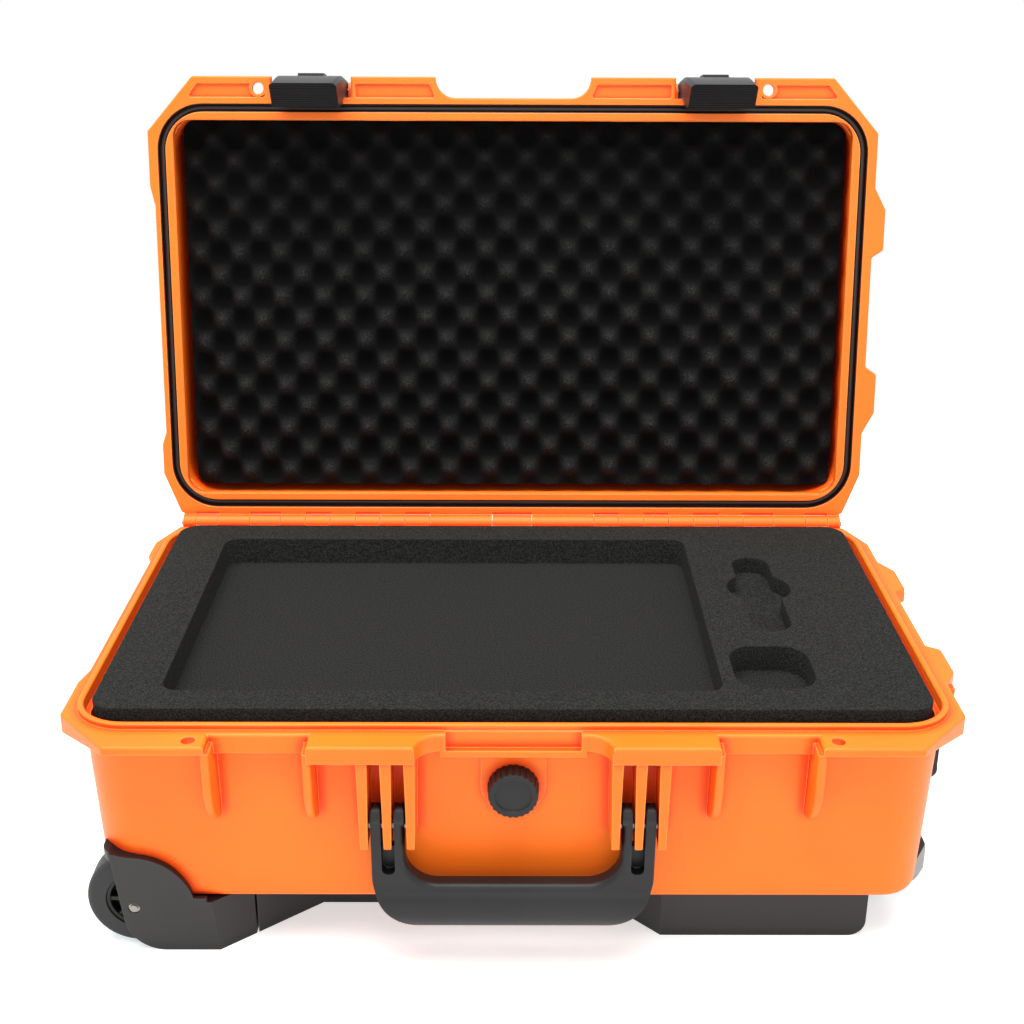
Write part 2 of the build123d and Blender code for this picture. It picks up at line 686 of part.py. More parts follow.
def latch():
    """Moulded draw latch on its pin, hooked under the base's catch rim."""
    pin_z = rim_z + latch_pin_rise
    low, high = latch_x - latch_half, latch_x + latch_half
    body = side_plate(latch_side_face(), low, high)
    top_z, end_z = pin_z + 12, rim_z - latch_drop
    taper = latch_half - latch_taper
    outline = outline_face([(-latch_half, top_z), (-taper, end_z - 0.5), (taper, end_z - 0.5),
                            (latch_half, top_z)])
    front = Pos(latch_x, 0) * fillet(outline.vertices().group_by(Axis.Y)[0], 3.0)
    body = body & front_profile(front, flange_front_y - 10, -tub_half_y + 10)
    skin = body.faces().filter_by(GeomType.EXTRUSION)[0]
    body = chamfer(skin.edges().filter_by(lambda edge: edge.length > latch_drop), latch_chamfer)
    pad_y, skin_y = flange_front_y - latch_pad_rise, flange_front_y + 4
    pad = side_profile([(skin_y, rim_z - 8), (pad_y, rim_z + 2), (pad_y, rim_z + 18), (skin_y, pin_z + 8)],
                       latch_x - latch_pad_half, latch_x + latch_pad_half)
    recess = box_between((low + 5, high - 5), (flange_front_y + 4, -tub_half_y), (rim_z - 9, rim_z + 11))
    body = body + pad - recess
    (lift_y, lift_z), (end_y, end_z) = latch_grip_line()
    for index in range(latch_grooves):
        share = (index + 0.5) / latch_grooves
        y, z = lift_y + share * (end_y - lift_y), lift_z + share * (end_z - lift_z)
        body = body - bar_x(low - 1, high + 1, y, z, groove_radius)
    return body - bar_x(low - 10, high + 10, latch_pin_y, pin_z, latch_pin_radius + running_gap)


def latch_pin():
    reach = latch_half + latch_clear + ear_thickness
    return bar_x(latch_x - reach, latch_x + reach, latch_pin_y, rim_z + latch_pin_rise, latch_pin_radius)


# ---------- carry handles ----------

def handle(pivot_drop, slot_drop, grip, rounds, tine_rise):
    """Carry handle hanging from a pivot at the origin; X along the grip, Z down to it."""
    grip_top, grip_bottom, depth = pivot_drop - grip[0], pivot_drop - grip[1], grip[2]
    inner = tine_offsets[0] - tine_width / 2
    tine_top = tine_rise + tine_round
    high = 2 * (tine_top - grip_bottom)
    outer = Pos(0, grip_bottom + high / 2) * RectangleRounded(handle_width, high, rounds[0])
    window = Pos(0, grip_top + high / 2) * RectangleRounded(2 * inner, high, rounds[1])
    slot_width = tine_offsets[1] - tine_offsets[0] - tine_width
    slot_x, slot_low = (tine_offsets[0] + tine_offsets[1]) / 2, pivot_drop - slot_drop
    slot = Pos(slot_x, slot_low + high / 2) * RectangleRounded(slot_width, high, slot_width / 2 - 0.2)
    below = Pos(0, tine_top - high) * Rectangle(handle_width, 2 * high)
    front = (outer & below) - window - slot - mirror(slot, Plane.YZ)
    front = fillet(front.vertices().group_by(Axis.Y)[-1], tine_crown)
    web = box_between(tine_offsets, (slot_web_front, depth), (slot_low - 2, -slot_web_drop))
    frame = front_profile(front, -depth, depth) + both_sides(web)
    mid = (grip_top + grip_bottom) / 2
    leg = Pos(0, (tine_rise + mid) / 2) * Rectangle(2 * tine_round - 1, tine_rise - mid)
    bar = Pos(0, mid) * Ellipse(depth / 2, (grip_top - grip_bottom) / 2)
    side = side_plate(leg + Pos(0, tine_rise) * Circle(tine_round) + bar, -handle_width, handle_width)
    solid = frame & side
    near = (grip_top - 0.1, grip_top + 0.1)
    solid = fillet(solid.edges().filter_by(Axis.X).filter_by_position(Axis.Z, *near), grip_edge)
    return solid - bar_x(-handle_width, handle_width, 0, 0, handle_pin_radius + running_gap)


def handle_pins():
    low, high = handle_ribs[0] - handle_pin_seat, handle_ribs[-1] + handle_pin_seat
    return both_sides(bar_x(low, high, 0, 0, handle_pin_radius))


def pin_seats(place):
    """Blind holes for a pin in the outer ribs of a bracket, with its way through the middle one."""
    low, high = handle_ribs[0] - handle_pin_seat, handle_ribs[-1] + handle_pin_seat
    return place * bar_x(low, high, 0, 0, handle_pin_radius)


def at_front(shape):
    return Pos(0, front_pivot[0], rim_z - front_pivot[1]) * shape


def at_right_end(shape):
    return Pos(side_pivot[0], 0, rim_z - side_pivot[1]) * Rot(0, 0, 90) * shape


def front_handle():
    shape = handle(front_pivot_drop, front_slot_drop, front_grip, front_rounds, front_tine_rise)
    return at_front(shape)


def side_handle():
    shape = handle(side_pivot_drop, side_slot_drop, side_grip, side_rounds, side_tine_rise)
    return at_right_end(shape)


# ---------- purge valve ----------

def purge_knob():
    """Scalloped knob in front of the wall, on its threaded stem."""
    face_y = -tub_half_y - 0.3
    disc = Circle(knob_radius)
    for index in range(knob_lobes):
        angle = 2 * pi * index / knob_lobes
        disc = disc - Pos(knob_radius * cos(angle) * 1.03, knob_radius * sin(angle) * 1.03) * Circle(1.1)
    front = Plane(origin=(0, face_y, 0), x_dir=(1, 0, 0), z_dir=(0, -1, 0))
    knob = front * extrude(disc, knob_height, taper=4)
    dish = bar_y(0, face_y - knob_height - 1, face_y - knob_height + 1.0, 0, knob_radius - 4.5)
    stem = bar_y(0, face_y - 2, -tub_half_y + wall + 8, 0, valve_shaft_radius)
    return Pos(0, 0, rim_z - valve_drop) * (knob - dish + stem)


def purge_valve_body():
    low, high = -tub_half_y - 0.2, -tub_half_y + wall + 7
    sleeve = bar_y(0, low, high, 0, valve_thread_radius - running_gap)
    bore = bar_y(0, low - 1, high + 1, 0, valve_shaft_radius + running_gap)
    return Pos(0, 0, rim_z - valve_drop) * (sleeve - bore)


def purge_valve_nut():
    start = -tub_half_y + wall + wall_lean(rim_z - valve_drop) + 1.0
    hexagon = RegularPolygon(10.5, 6) - Circle(valve_thread_radius)
    nut = Plane(origin=(0, start, 0), x_dir=(1, 0, 0), z_dir=(0, 1, 0)) * extrude(hexagon, 3.0)
    return Pos(0, 0, rim_z - valve_drop) * nut


# ---------- wheels ----------

def wheel_tyre():
    ring = Cylinder(wheel_radius, wheel_width) - Cylinder(tyre_inner_radius, wheel_width + 2)
    return fillet(ring.edges().filter_by(GeomType.CIRCLE).sort_by(SortBy.RADIUS)[-2:], tyre_shoulder)


def wheel_hub():
    """Spoked hub with a seat for a bearing in each face."""
    half = wheel_width / 2
    spoke_low, spoke_high = bearing_radius + 2, tyre_inner_radius - 2
    rim = Cylinder(tyre_inner_radius, 2 * half - 2) - Cylinder(tyre_inner_radius - 2.5, 2 * half + 2)
    hub = rim + Cylinder(tyre_inner_radius - 2, 4) + Cylinder(bearing_radius + 3, 2 * half)
    spoke = Pos((spoke_low + spoke_high) / 2, 0, 0) * Box(spoke_high - spoke_low, 2.6, 2 * half - 4)
    for index in range(wheel_spokes):
        hub = hub + Rot(0, 0, 360 * index / wheel_spokes) * spoke
    seat = Cylinder(bearing_radius, bearing_width)
    shift = half - bearing_width / 2
    hub = hub - Cylinder(axle_radius + 1.5, 2 * half + 2)
    return hub - Pos(0, 0, shift) * seat - Pos(0, 0, -shift) * seat


def wheel_bearings():
    ring = Cylinder(bearing_radius, bearing_width) - Cylinder(axle_radius + running_gap, bearing_width + 2)
    shift = (wheel_width - bearing_width) / 2
    return Pos(0, 0, shift) * ring + Pos(0, 0, -shift) * ring


def on_axle(shape, side):
    """Put a wheel piece drawn about Z on the front (-1) or rear (+1) axle."""
    y = side * (wheel_outer_y + wheel_inner_y) / 2
    return Pos(wheel_x, y, wheel_z) * Rot(90, 0, 0) * shape


def wheel_axle():
    """Axle seated in both walls of the moulding, with its peened end in a dimple."""
    shank = bar_y(wheel_x, -housing_plate_back_y - 2, -axle_inner_y, wheel_z, axle_radius)
    tip = bar_y(wheel_x, -face_at(wheel_z) - 0.4, -housing_plate_back_y, wheel_z, axle_tip_radius)
    return shank + tip


def face_at(z):
    """How far from the centre line the moulding's outer face stands at height z."""
    return housing_face_y - housing_foot_lean * (1 - z / housing_top_z)


def swept_face():
    """Front outline of the outer plate, drawn in x and z: swept top edge, round lower corner."""
    top_z, foot_r = housing_top_z, housing_foot_round
    left = Line((housing_left_x, top_z), (housing_foot_x, foot_r))
    toe = TangentArc((housing_foot_x, foot_r), (housing_foot_x + foot_r, 0), tangent=(0, -1))
    right = Polyline([(housing_foot_x + foot_r, 0), (housing_right_x, 0), (housing_right_x, housing_shelf_z),
                      (wheel_x + 37.5, housing_shelf_z)])
    crest = Spline([(wheel_x + 37.5, housing_shelf_z), (wheel_x + 31, 55.5), (wheel_x + 20.6, 65.8),
                    (wheel_x + 6, 71.2), (wheel_x - 4, 72.6), (housing_left_x, top_z)])
    return make_face(left + toe + right + crest)


def diagonal_y(x):
    """Outer side of the low block where it turns in towards the trolley's waist."""
    return housing_face_y - (x - housing_right_x) * tan(radians(housing_diagonal_deg))


def wheel_housing():
    """Corner moulding round a front wheel: outer plate, brow over the wheel, block under the tub."""
    plate = front_profile(swept_face(), -housing_face_y, -housing_plate_back_y)
    split_y = diagonal_y(housing_split_x)
    plan = outline_face([(housing_left_x, -housing_face_y), (housing_right_x, -housing_face_y),
                         (housing_split_x, -split_y), (housing_split_x, -housing_inner_y),
                         (housing_left_x - 3, -housing_inner_y), (housing_left_x - 3, -wheel_inner_y)])
    block = extrude(plan, tub_bottom_z)
    side = wheel_radius + wheel_clear - 1
    room_y = (-wheel_outer_y - 1.5, -wheel_inner_y + 1.5)
    room = bar_y(wheel_x, *room_y, wheel_z, side)
    way_down = box_between((wheel_x - 2 * side, wheel_x + side), room_y, (-5, wheel_z))
    toe_room = front_profile(Rectangle(800, 300) - swept_face(), -housing_face_y - 5, -housing_plate_back_y)
    block = block - room - way_down - toe_room
    low_z, high_z, outside_y = -5, housing_top_z + 10, -housing_face_y - 10
    lean = side_profile([(outside_y, high_z), (-face_at(high_z), high_z), (-face_at(low_z), low_z),
                         (outside_y, low_z)], -2 * tub_half_x, 0)
    body = plate + brow() + block - lean
    shank = bar_y(wheel_x, -housing_plate_back_y - 2, -axle_inner_y, wheel_z, axle_radius)
    tip = bar_y(wheel_x, -housing_face_y - 5, -housing_plate_back_y, wheel_z, axle_tip_radius)
    dimple = bar_y(wheel_x, -housing_face_y - 1, -face_at(wheel_z) + 0.8, wheel_z, axle_tip_radius + 1.2)
    for y in housing_screw_y:
        body = body - screw_hole(housing_screw_x, -y)
    return body - shank - tip - dimple


def brow():
    """Arch over the wheel that follows the tub's corner back from the plate."""
    left_x = -(tub_half_x - brow_reach)
    low_z = wheel_z + wheel_radius + wheel_clear
    plan = RectangleRounded(2 * brow_length, 2 * brow_length, brow_round)
    front_y, rear_y = -housing_face_y, -housing_face_y + brow_length
    solid = Pos(left_x + brow_length, rear_y, low_z) * extrude(plan, housing_top_z - low_z)
    extent = box_between((left_x - 1, wheel_x + 4), (front_y - 1, rear_y), (0, rim_z))
    return (solid & extent) - tub_block()


# ---------- trolley ----------

def tube(x_low, x_high, radius):
    bore = bar_x(x_low - 1, x_high + 1, tube_y, tube_z, radius - tube_wall)
    solid = bar_x(x_low, x_high, tube_y, tube_z, radius) - bore
    return solid + mirror_y(solid)


def stage_radius(stage):
    """Outer radius of tube stage 0 (fixed), 1 or 2."""
    return outer_tube_radius - stage * (tube_wall + tube_gap)


def screw(x, y):
    """Pan-head screw up through the underside into the tub's floor."""
    head = Pos(x, y, screw_head_z + screw_head_height / 2) * Cylinder(screw_head_radius, screw_head_height)
    top = tub_bottom_z + wall - 0.5
    shank = Pos(x, y, (screw_head_z + top) / 2) * Cylinder(screw_radius, top - screw_head_z)
    return head + shank


def screw_hole(x, y):
    """Counterbore and shank hole of a screw, open to the underside."""
    seat = screw_head_z + screw_head_height
    return Pos(x, y, seat / 2) * Cylinder(screw_head_radius + screw_head_gap, seat) + screw(x, y)


def sole_screws():
    return sum_of([screw(x, y) for x in sole_screw_x for y in (-sole_screw_y, sole_screw_y)])


def housing_screws():
    x, spots = housing_screw_x, housing_screw_y
    return sum_of([screw(x, side * y) for y in spots for side in (-1, 1)])


def trolley_housing():
    """Long moulding under the tub: waist, two feet, and the mouth the pull grip parks in."""
    split = housing_split_x + housing_gap
    foot_low, foot_high = trolley_foot_x
    split_y = diagonal_y(split)
    waist_x = split + (split_y - trolley_waist_y) / tan(radians(housing_diagonal_deg))
    reach = trolley_foot_y - trolley_waist_y
    outline = [(split, -split_y), (waist_x, -trolley_waist_y), (foot_low - reach, -trolley_waist_y),
               (foot_low, -trolley_foot_y), (foot_high, -trolley_foot_y), (foot_high, -trolley_mouth_half),
               (trolley_mouth_x, -trolley_mouth_half)]
    outline = outline + [(x, -y) for x, y in reversed(outline)]
    body = extrude(make_face(Polyline(outline, close=True)), tub_bottom_z)
    toe_line = TangentArc((foot_high, toe_round), (foot_high - toe_round, 0), tangent=(0, -1))
    toe_rest = Polyline([(foot_high - toe_round, 0), (foot_high - toe_round, -1), (trolley_mouth_x + 1, -1),
                         (trolley_mouth_x + 1, toe_round), (foot_high, toe_round)])
    toe = front_profile(make_face(toe_line + toe_rest), -tub_half_y, tub_half_y)
    toe = toe - box_between((0, tub_half_x), (-trolley_mouth_half, trolley_mouth_half), (-2, toe_round + 1))
    tongue_x = (wheel_x - 11, split + 1)
    body = body - toe + box_between(tongue_x, (-trolley_tongue_half, trolley_tongue_half), (0, tub_bottom_z))
    room_z = (sole_wall, tub_bottom_z + 1)
    middle = box_between((sole_wall * 2, sole_screw_x[-1] - 11), (-tube_y + 15, tube_y - 15), room_z)
    side_y = (tube_y + 15, trolley_foot_y - sole_wall)
    side = box_between((foot_low + sole_wall, foot_high - 14), side_y, room_z)
    bore = bar_x(outer_tube_ends[0], tub_half_x + 40, tube_y, tube_z, outer_tube_radius)
    body = body - middle - mirror_x(middle) - side - mirror_y(side) - bore - mirror_y(bore)
    for x in sole_screw_x:
        body = body - screw_hole(x, -sole_screw_y) - screw_hole(x, sole_screw_y)
    return body


def trolley_grip_whole():
    """Both halves of the pull grip, with sockets for the tubes and the button's well."""
    low, high = trolley_grip_z
    centre = (low + high) / 2
    section = Polyline([(grip_back_x, low + 3), (grip_back_x, high - 2), (grip_back_x + 3, high),
                        (grip_front_x - 6, high - 1.5)])
    section = section + ThreePointArc((grip_front_x - 6, high - 1.5), (grip_front_x - 1.4, high - 6),
                                      (grip_front_x, high - 12))
    section = section + Polyline([(grip_front_x, high - 12), (grip_front_x, low + 17),
                                  (grip_front_x - 5.5, low + 4), (grip_back_x + 3, low),
                                  (grip_back_x, low + 3)])
    body = front_profile(make_face(section), -trolley_grip_half, trolley_grip_half)
    plan = Plane(origin=(grip_back_x - 1, 0, centre), x_dir=(0, 1, 0), z_dir=(1, 0, 0))
    body = body & (plan * extrude(RectangleRounded(2 * trolley_grip_half, high - low, 12.0), 20))
    pocket = box_between((grip_back_x + 4, grip_front_x + 1), (-button_half_y - 0.4, button_half_y + 0.4),
                         (centre - button_half_z - 0.4, centre + button_half_z + 0.4))
    socket = bar_x(grip_back_x - 1, grip_back_x + grip_socket, tube_y, tube_z, stage_radius(2))
    return body - pocket - socket - mirror_y(socket)


def grip_split():
    """Half space behind and above the joint between the grip's core and its outer shell."""
    top_z = trolley_grip_z[1] - 7
    above_z = trolley_grip_z[1] + 30
    face = outline_face([(grip_front_x + 1, top_z + 3.2), (grip_back_x - 1, top_z - 36),
                         (grip_back_x - 1, above_z), (grip_front_x + 1, above_z)])
    return front_profile(face, -trolley_grip_half - 5, trolley_grip_half + 5)


def trolley_grip():
    return trolley_grip_whole() & grip_split()


def trolley_grip_shell():
    return trolley_grip_whole() - grip_split()


def trolley_button():
    """Release button in the middle of the grip, with room behind it for its travel."""
    centre = sum(trolley_grip_z) / 2
    low = grip_back_x + 4 + button_travel + button_gap
    body = box_between((low, grip_front_x + 1.2), (-button_half_y, button_half_y),
                       (centre - button_half_z, centre + button_half_z))
    return fillet(body.faces().sort_by(Axis.X)[-1].edges(), 1.2)


# ---------- foam ----------

def pocket_cut(spec, top):
    x, y, size_x, size_y, depth, corner = spec
    return Pos(x, y, top - depth) * extrude(RectangleRounded(size_x, size_y, corner), depth + 1)


def foam_plan(z_low, z_high, inset):
    """Foam layer whose sides lean like the tub's walls."""
    start = (rim_z + foam_top_rise - z_high) * tan(radians(draft_deg)) + inset
    return drafted(foam_half_x - start, foam_half_y - start, foam_corner - start, z_high, z_low, draft_deg)


def foam_insert():
    top = rim_z + foam_top_rise
    body = foam_plan(foam_split_z, top, 0.0)
    for spec in (laptop_pocket, mouse_pocket, watch_pocket):
        body = body - pocket_cut(spec, top)
    dial_x, dial_y, dial_radius = watch_dial
    dial = Pos(dial_x, dial_y, top - watch_pocket[4]) * extrude(Circle(dial_radius), watch_pocket[4] + 1)
    valve_room = bar_y(0, -foam_half_y - 1, -foam_half_y + 8, rim_z - valve_drop, 14.0)
    return body - dial - valve_room


def foam_base():
    body = foam_plan(tub_bottom_z + wall + foam_gap, foam_split_z - foam_gap, 0.5)
    body = fillet(body.edges().group_by(Axis.Z)[0], tub_edge)
    reach = wheel_radius + wheel_clear + well_wall + 2
    well_y = -wheel_inner_y + wheel_clear + well_wall + 2
    room = box_between((-tub_half_x, wheel_x + reach), (-tub_half_y, well_y), (0, wheel_z + reach))
    return body - room - mirror_y(room)


def lid_foam():
    """Block of foam that fills the lid behind its lip."""
    return lid_hollow(lid_foam_gap)


# ---------- write the nodes ----------

nodes = {
    "base_shell": base_shell(),
    "base_foam_block": foam_base(),
    "laptop_foam_insert": foam_insert(),
    "hinge_pin": hinge_pin(),
    "front_handle_pins": at_front(handle_pins()),
    "side_handle_pins": at_right_end(handle_pins()),
    "purge_valve_body": purge_valve_body(),
    "purge_valve_nut": purge_valve_nut(),
    "wheel_housing_front": wheel_housing(),
    "wheel_housing_rear": mirror_y(wheel_housing()),
    "wheel_axle_front": wheel_axle(),
    "wheel_axle_rear": mirror_y(wheel_axle()),
    "trolley_housing": trolley_housing(),
    "trolley_housing_screws": sole_screws(),
    "wheel_housing_screws": housing_screws(),
    "trolley_outer_tubes": tube(*outer_tube_ends, stage_radius(0)),
    "lid_shell": opened(lid_shell()),
    "lid_gasket": opened(lid_gasket()),
    "lid_foam": opened(lid_foam()),
    "latch_pin_right": opened(latch_pin()),
    "latch_pin_left": opened(mirror_x(latch_pin())),
    "latch_right": opened(latch()),
    "latch_left": opened(mirror_x(latch())),
    "front_handle": front_handle(),
    "side_handle": side_handle(),
    "purge_knob": purge_knob(),
    "wheel_hub_front": on_axle(wheel_hub(), -1),
    "wheel_tyre_front": on_axle(wheel_tyre(), -1),
    "wheel_bearings_front": on_axle(wheel_bearings(), -1),
    "wheel_hub_rear": on_axle(wheel_hub(), 1),
    "wheel_tyre_rear": on_axle(wheel_tyre(), 1),
    "wheel_bearings_rear": on_axle(wheel_bearings(), 1),
    "trolley_middle_tubes": tube(middle_tube_start, middle_tube_end, stage_radius(1)),
    "trolley_inner_tubes": tube(inner_tube_start, grip_back_x + grip_socket, stage_radius(2)),
    "trolley_grip": trolley_grip(),
    "trolley_grip_shell": trolley_grip_shell(),
    "trolley_button": trolley_button(),
}

for name, shape in nodes.items():
    export_step(shape, f"parts/{name}.step")
    print(name)
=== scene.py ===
# Rolling laptop hard case, dressed over its CAD frame
import json
import math

import bpy
from mathutils import Matrix, Vector, noise


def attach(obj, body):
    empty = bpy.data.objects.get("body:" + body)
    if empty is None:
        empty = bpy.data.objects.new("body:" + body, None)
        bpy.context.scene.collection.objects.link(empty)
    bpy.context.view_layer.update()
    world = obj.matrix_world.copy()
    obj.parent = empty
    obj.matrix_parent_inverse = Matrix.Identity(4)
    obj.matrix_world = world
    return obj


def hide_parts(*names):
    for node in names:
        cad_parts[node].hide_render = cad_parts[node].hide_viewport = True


print("loading the case's frame")
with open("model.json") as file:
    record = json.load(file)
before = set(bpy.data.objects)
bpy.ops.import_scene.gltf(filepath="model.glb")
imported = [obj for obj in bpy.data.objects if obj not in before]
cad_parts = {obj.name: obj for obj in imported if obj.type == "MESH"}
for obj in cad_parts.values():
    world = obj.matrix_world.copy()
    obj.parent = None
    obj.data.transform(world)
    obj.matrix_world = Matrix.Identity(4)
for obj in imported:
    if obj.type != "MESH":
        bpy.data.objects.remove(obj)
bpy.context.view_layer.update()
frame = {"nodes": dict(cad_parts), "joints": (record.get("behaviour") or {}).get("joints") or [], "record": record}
nodes = frame["nodes"]
joints = {joint["name"]: joint for joint in frame["joints"]}
mm = 0.001


def linear(hexText):
    # sRGB hex to the linear colour that sockets take
    parts = [int(hexText[i:i + 2], 16) / 255 for i in (1, 3, 5)]
    return [c / 12.92 if c <= 0.04045 else ((c + 0.055) / 1.055) ** 2.4 for c in parts] + [1.0]


def addNode(material, kind, settings=None, inputs=None, links=None):
    # inputs and links are keyed by socket name or number
    node = material.node_tree.nodes.new(kind)
    for name, value in (settings or {}).items():
        setattr(node, name, value)
    for name, value in (inputs or {}).items():
        node.inputs[name].default_value = value
    for name, source in (links or {}).items():
        material.node_tree.links.new(source, node.inputs[name])
    return node


def newMaterial(name, sockets):
    material = bpy.data.materials.new(name)
    material.use_nodes = True
    surface = material.node_tree.nodes["Principled BSDF"]
    for socket, value in sockets.items():
        surface.inputs[socket].default_value = value
    return material, surface


def feed(material, source, surface, socket):
    material.node_tree.links.new(source, surface.inputs[socket])


def ramp(material, source, stops):
    node = addNode(material, "ShaderNodeValToRGB", links={"Fac": source})
    for i, (place, colour) in enumerate(stops):
        stop = node.color_ramp.elements[i] if i < 2 else node.color_ramp.elements.new(place)
        stop.position = place
        stop.color = colour
    return node.outputs["Color"]


def objectPlace(material):
    return addNode(material, "ShaderNodeTexCoord").outputs["Object"]


print("mixing the moulded plastics")
black, halfWay, white = (0, 0, 0, 1), (0.42, 0.42, 0.42, 1), (1, 1, 1, 1)

# polypropylene, injection moulded in a spark-eroded tool: satin, very fine grain; its lighter edges are a painted
# highlight, and its corners and slots are painted a deeper red as painted shade, for light that has bounced twice
# between its walls
orangeShell = {"body": ("#F96F15", "#FB751A"), "edge": "#FFAA58", "paintedShade": "#E83804",
               "cloudMm": 90, "grainMm": 0.9, "grainDepth": 0.16, "rough": (0.36, 0.48),
               "edgeMm": 1.2, "reachMm": 7, "sockets": {"IOR": 1.49, "Specular IOR Level": 0.3}}
# the same plastic in black, on handles and knob, with a painted edge highlight and painted shade in its slots
blackHandle = {"body": ("#121213", "#171718"), "edge": "#2E2E2F", "paintedShade": "#040404",
               "cloudMm": 60, "grainMm": 0.8, "grainDepth": 0.22, "rough": (0.36, 0.48),
               "edgeMm": 1.6, "reachMm": 6, "sockets": {"IOR": 1.49, "Specular IOR Level": 0.3}}
# glass-filled nylon of the latches: harder and smoother; the black between its grip ridges is painted shade, and
# the lighter ridge edges a painted highlight
latchNylon = {"body": ("#262628", "#2C2C2D"), "edge": "#444446", "paintedShade": "#010101",
              "cloudMm": 40, "grainMm": 0.8, "grainDepth": 0.12, "rough": (0.24, 0.34),
              "edgeMm": 0.5, "reachMm": 1.5, "sockets": {"IOR": 1.53, "Specular IOR Level": 0.02}}
# mouldings round wheels and trolley: matt nylon, with a painted grey highlight along its edges and painted shade
# in its slots
undersideNylon = {"body": ("#1A1918", "#201F1E"), "edge": "#403E3C", "paintedShade": "#060505",
                  "cloudMm": 110, "grainMm": 1.0, "grainDepth": 0.22, "rough": (0.38, 0.52),
                  "edgeMm": 1.2, "reachMm": 8, "sockets": {"IOR": 1.53, "Specular IOR Level": 0.34}}
# the same nylon in light grey, on the cover of the pull grip, with a painted edge highlight and painted shade in
# its slots
greyCover = {"body": ("#9DA1A1", "#A5A9A8"), "edge": "#C2C5C4", "paintedShade": "#6E7272",
             "cloudMm": 60, "grainMm": 0.9, "grainDepth": 0.18, "rough": (0.36, 0.46),
             "edgeMm": 1.0, "reachMm": 6, "sockets": {"IOR": 1.53, "Specular IOR Level": 0.45}}

# shared by all of them: ramp places of cloud, of the painted edge highlight and of the painted shade in slots, and
# how high the grain stands
mouldShading = {"cloud": (0.35, 0.65), "edge": (0.80, 0.985), "slot": (0.40, 0.99), "slotHalf": 0.85,
                "edgeSamples": 4, "slotSamples": 6}
grainHeight = 0.1 * mm


def mouldedPlastic(name, look):
    material, surface = newMaterial(name, look["sockets"])
    shading = mouldShading
    place = objectPlace(material)
    cloud = addNode(material, "ShaderNodeTexNoise",
                    inputs={"Scale": 1 / (look["cloudMm"] * mm), "Detail": 3.0, "Roughness": 0.55},
                    links={"Vector": place})
    grain = addNode(material, "ShaderNodeTexNoise",
                    inputs={"Scale": 1 / (look["grainMm"] * mm), "Detail": 2.0}, links={"Vector": place})
    soft = addNode(material, "ShaderNodeBevel", settings={"samples": shading["edgeSamples"]},
                   inputs={"Radius": look["edgeMm"] * mm})
    flat = addNode(material, "ShaderNodeNewGeometry")
    # the rounded normal leaves the real one only near an edge, where the colour is lightened as a painted
    # highlight
    turn = addNode(material, "ShaderNodeVectorMath", settings={"operation": "DOT_PRODUCT"},
                   links={0: soft.outputs["Normal"], 1: flat.outputs["Normal"]})
    edge = ramp(material, turn.outputs["Value"], list(zip(shading["edge"], (white, black))))
    body = ramp(material, cloud.outputs["Fac"], list(zip(shading["cloud"], map(linear, look["body"]))))
    # near other surfaces the colour is darkened towards a deeper tone: painted shade in corners, slots and grooves
    around = addNode(material, "ShaderNodeAmbientOcclusion",
                     settings={"samples": shading["slotSamples"]},
                     inputs={"Distance": look["reachMm"] * mm})
    slot = ramp(material, around.outputs["AO"],
                list(zip(shading["slot"], (white, black))) + [(shading["slotHalf"], halfWay)])
    shaded = addNode(material, "ShaderNodeMix", settings={"data_type": "RGBA"},
                     inputs={"B": linear(look["paintedShade"])}, links={"Factor": slot, "A": body})
    # lighter colour along the edges: painted highlight
    edgeHighlighted = addNode(material, "ShaderNodeMix", settings={"data_type": "RGBA"},
                   inputs={"B": linear(look["edge"])},
                   links={"Factor": edge, "A": shaded.outputs["Result"]})
    feed(material, edgeHighlighted.outputs["Result"], surface, "Base Color")
    dull = addNode(material, "ShaderNodeMapRange",
                   inputs={"To Min": look["rough"][0], "To Max": look["rough"][1]},
                   links={"Value": grain.outputs["Fac"]})
    feed(material, dull.outputs["Result"], surface, "Roughness")
    bump = addNode(material, "ShaderNodeBump",
                   inputs={"Strength": look["grainDepth"], "Distance": grainHeight},
                   links={"Height": grain.outputs["Fac"], "Normal": soft.outputs["Normal"]})
    feed(material, bump.outputs["Normal"], surface, "Normal")
    return material


orangePolypropylene = mouldedPlastic("orangePolypropylene", orangeShell)
blackPolypropylene = mouldedPlastic("blackPolypropylene", blackHandle)
glossyNylon = mouldedPlastic("glossyNylon", latchNylon)
charcoalNylon = mouldedPlastic("charcoalNylon", undersideNylon)
greyNylon = mouldedPlastic("greyNylon", greyCover)

print("mixing foam, rubber and metal")

# open-cell polyurethane foam, cut by wire: the cut cells catch light as fine speckle, which is drawn
# coarser than the real cells so that it shows
cutFoamLook = {"dark": "#101110", "light": "#333331", "cellMm": 1.5, "depthMm": 0.5}
# the same foam convoluted: painted shade darkens its hollows, and its peaks are painted darker towards the top of
# the lid, as painted shade; heights in metres
eggFoamLook = {"dark": "#080808", "light": "#353534", "hollowShade": "#040404",
               "cellMm": 1.5, "depthMm": 0.35, "peaks": (0.30, 0.92),
               "unshadedBelow": 0.31, "shadedAbove": 0.46, "shadedShare": 0.35}
openCells = {"sockets": {"Roughness": 0.95, "Specular IOR Level": 0.12},
             "finer": 1.6, "speckle": (0.38, 0.72), "strength": 0.6}


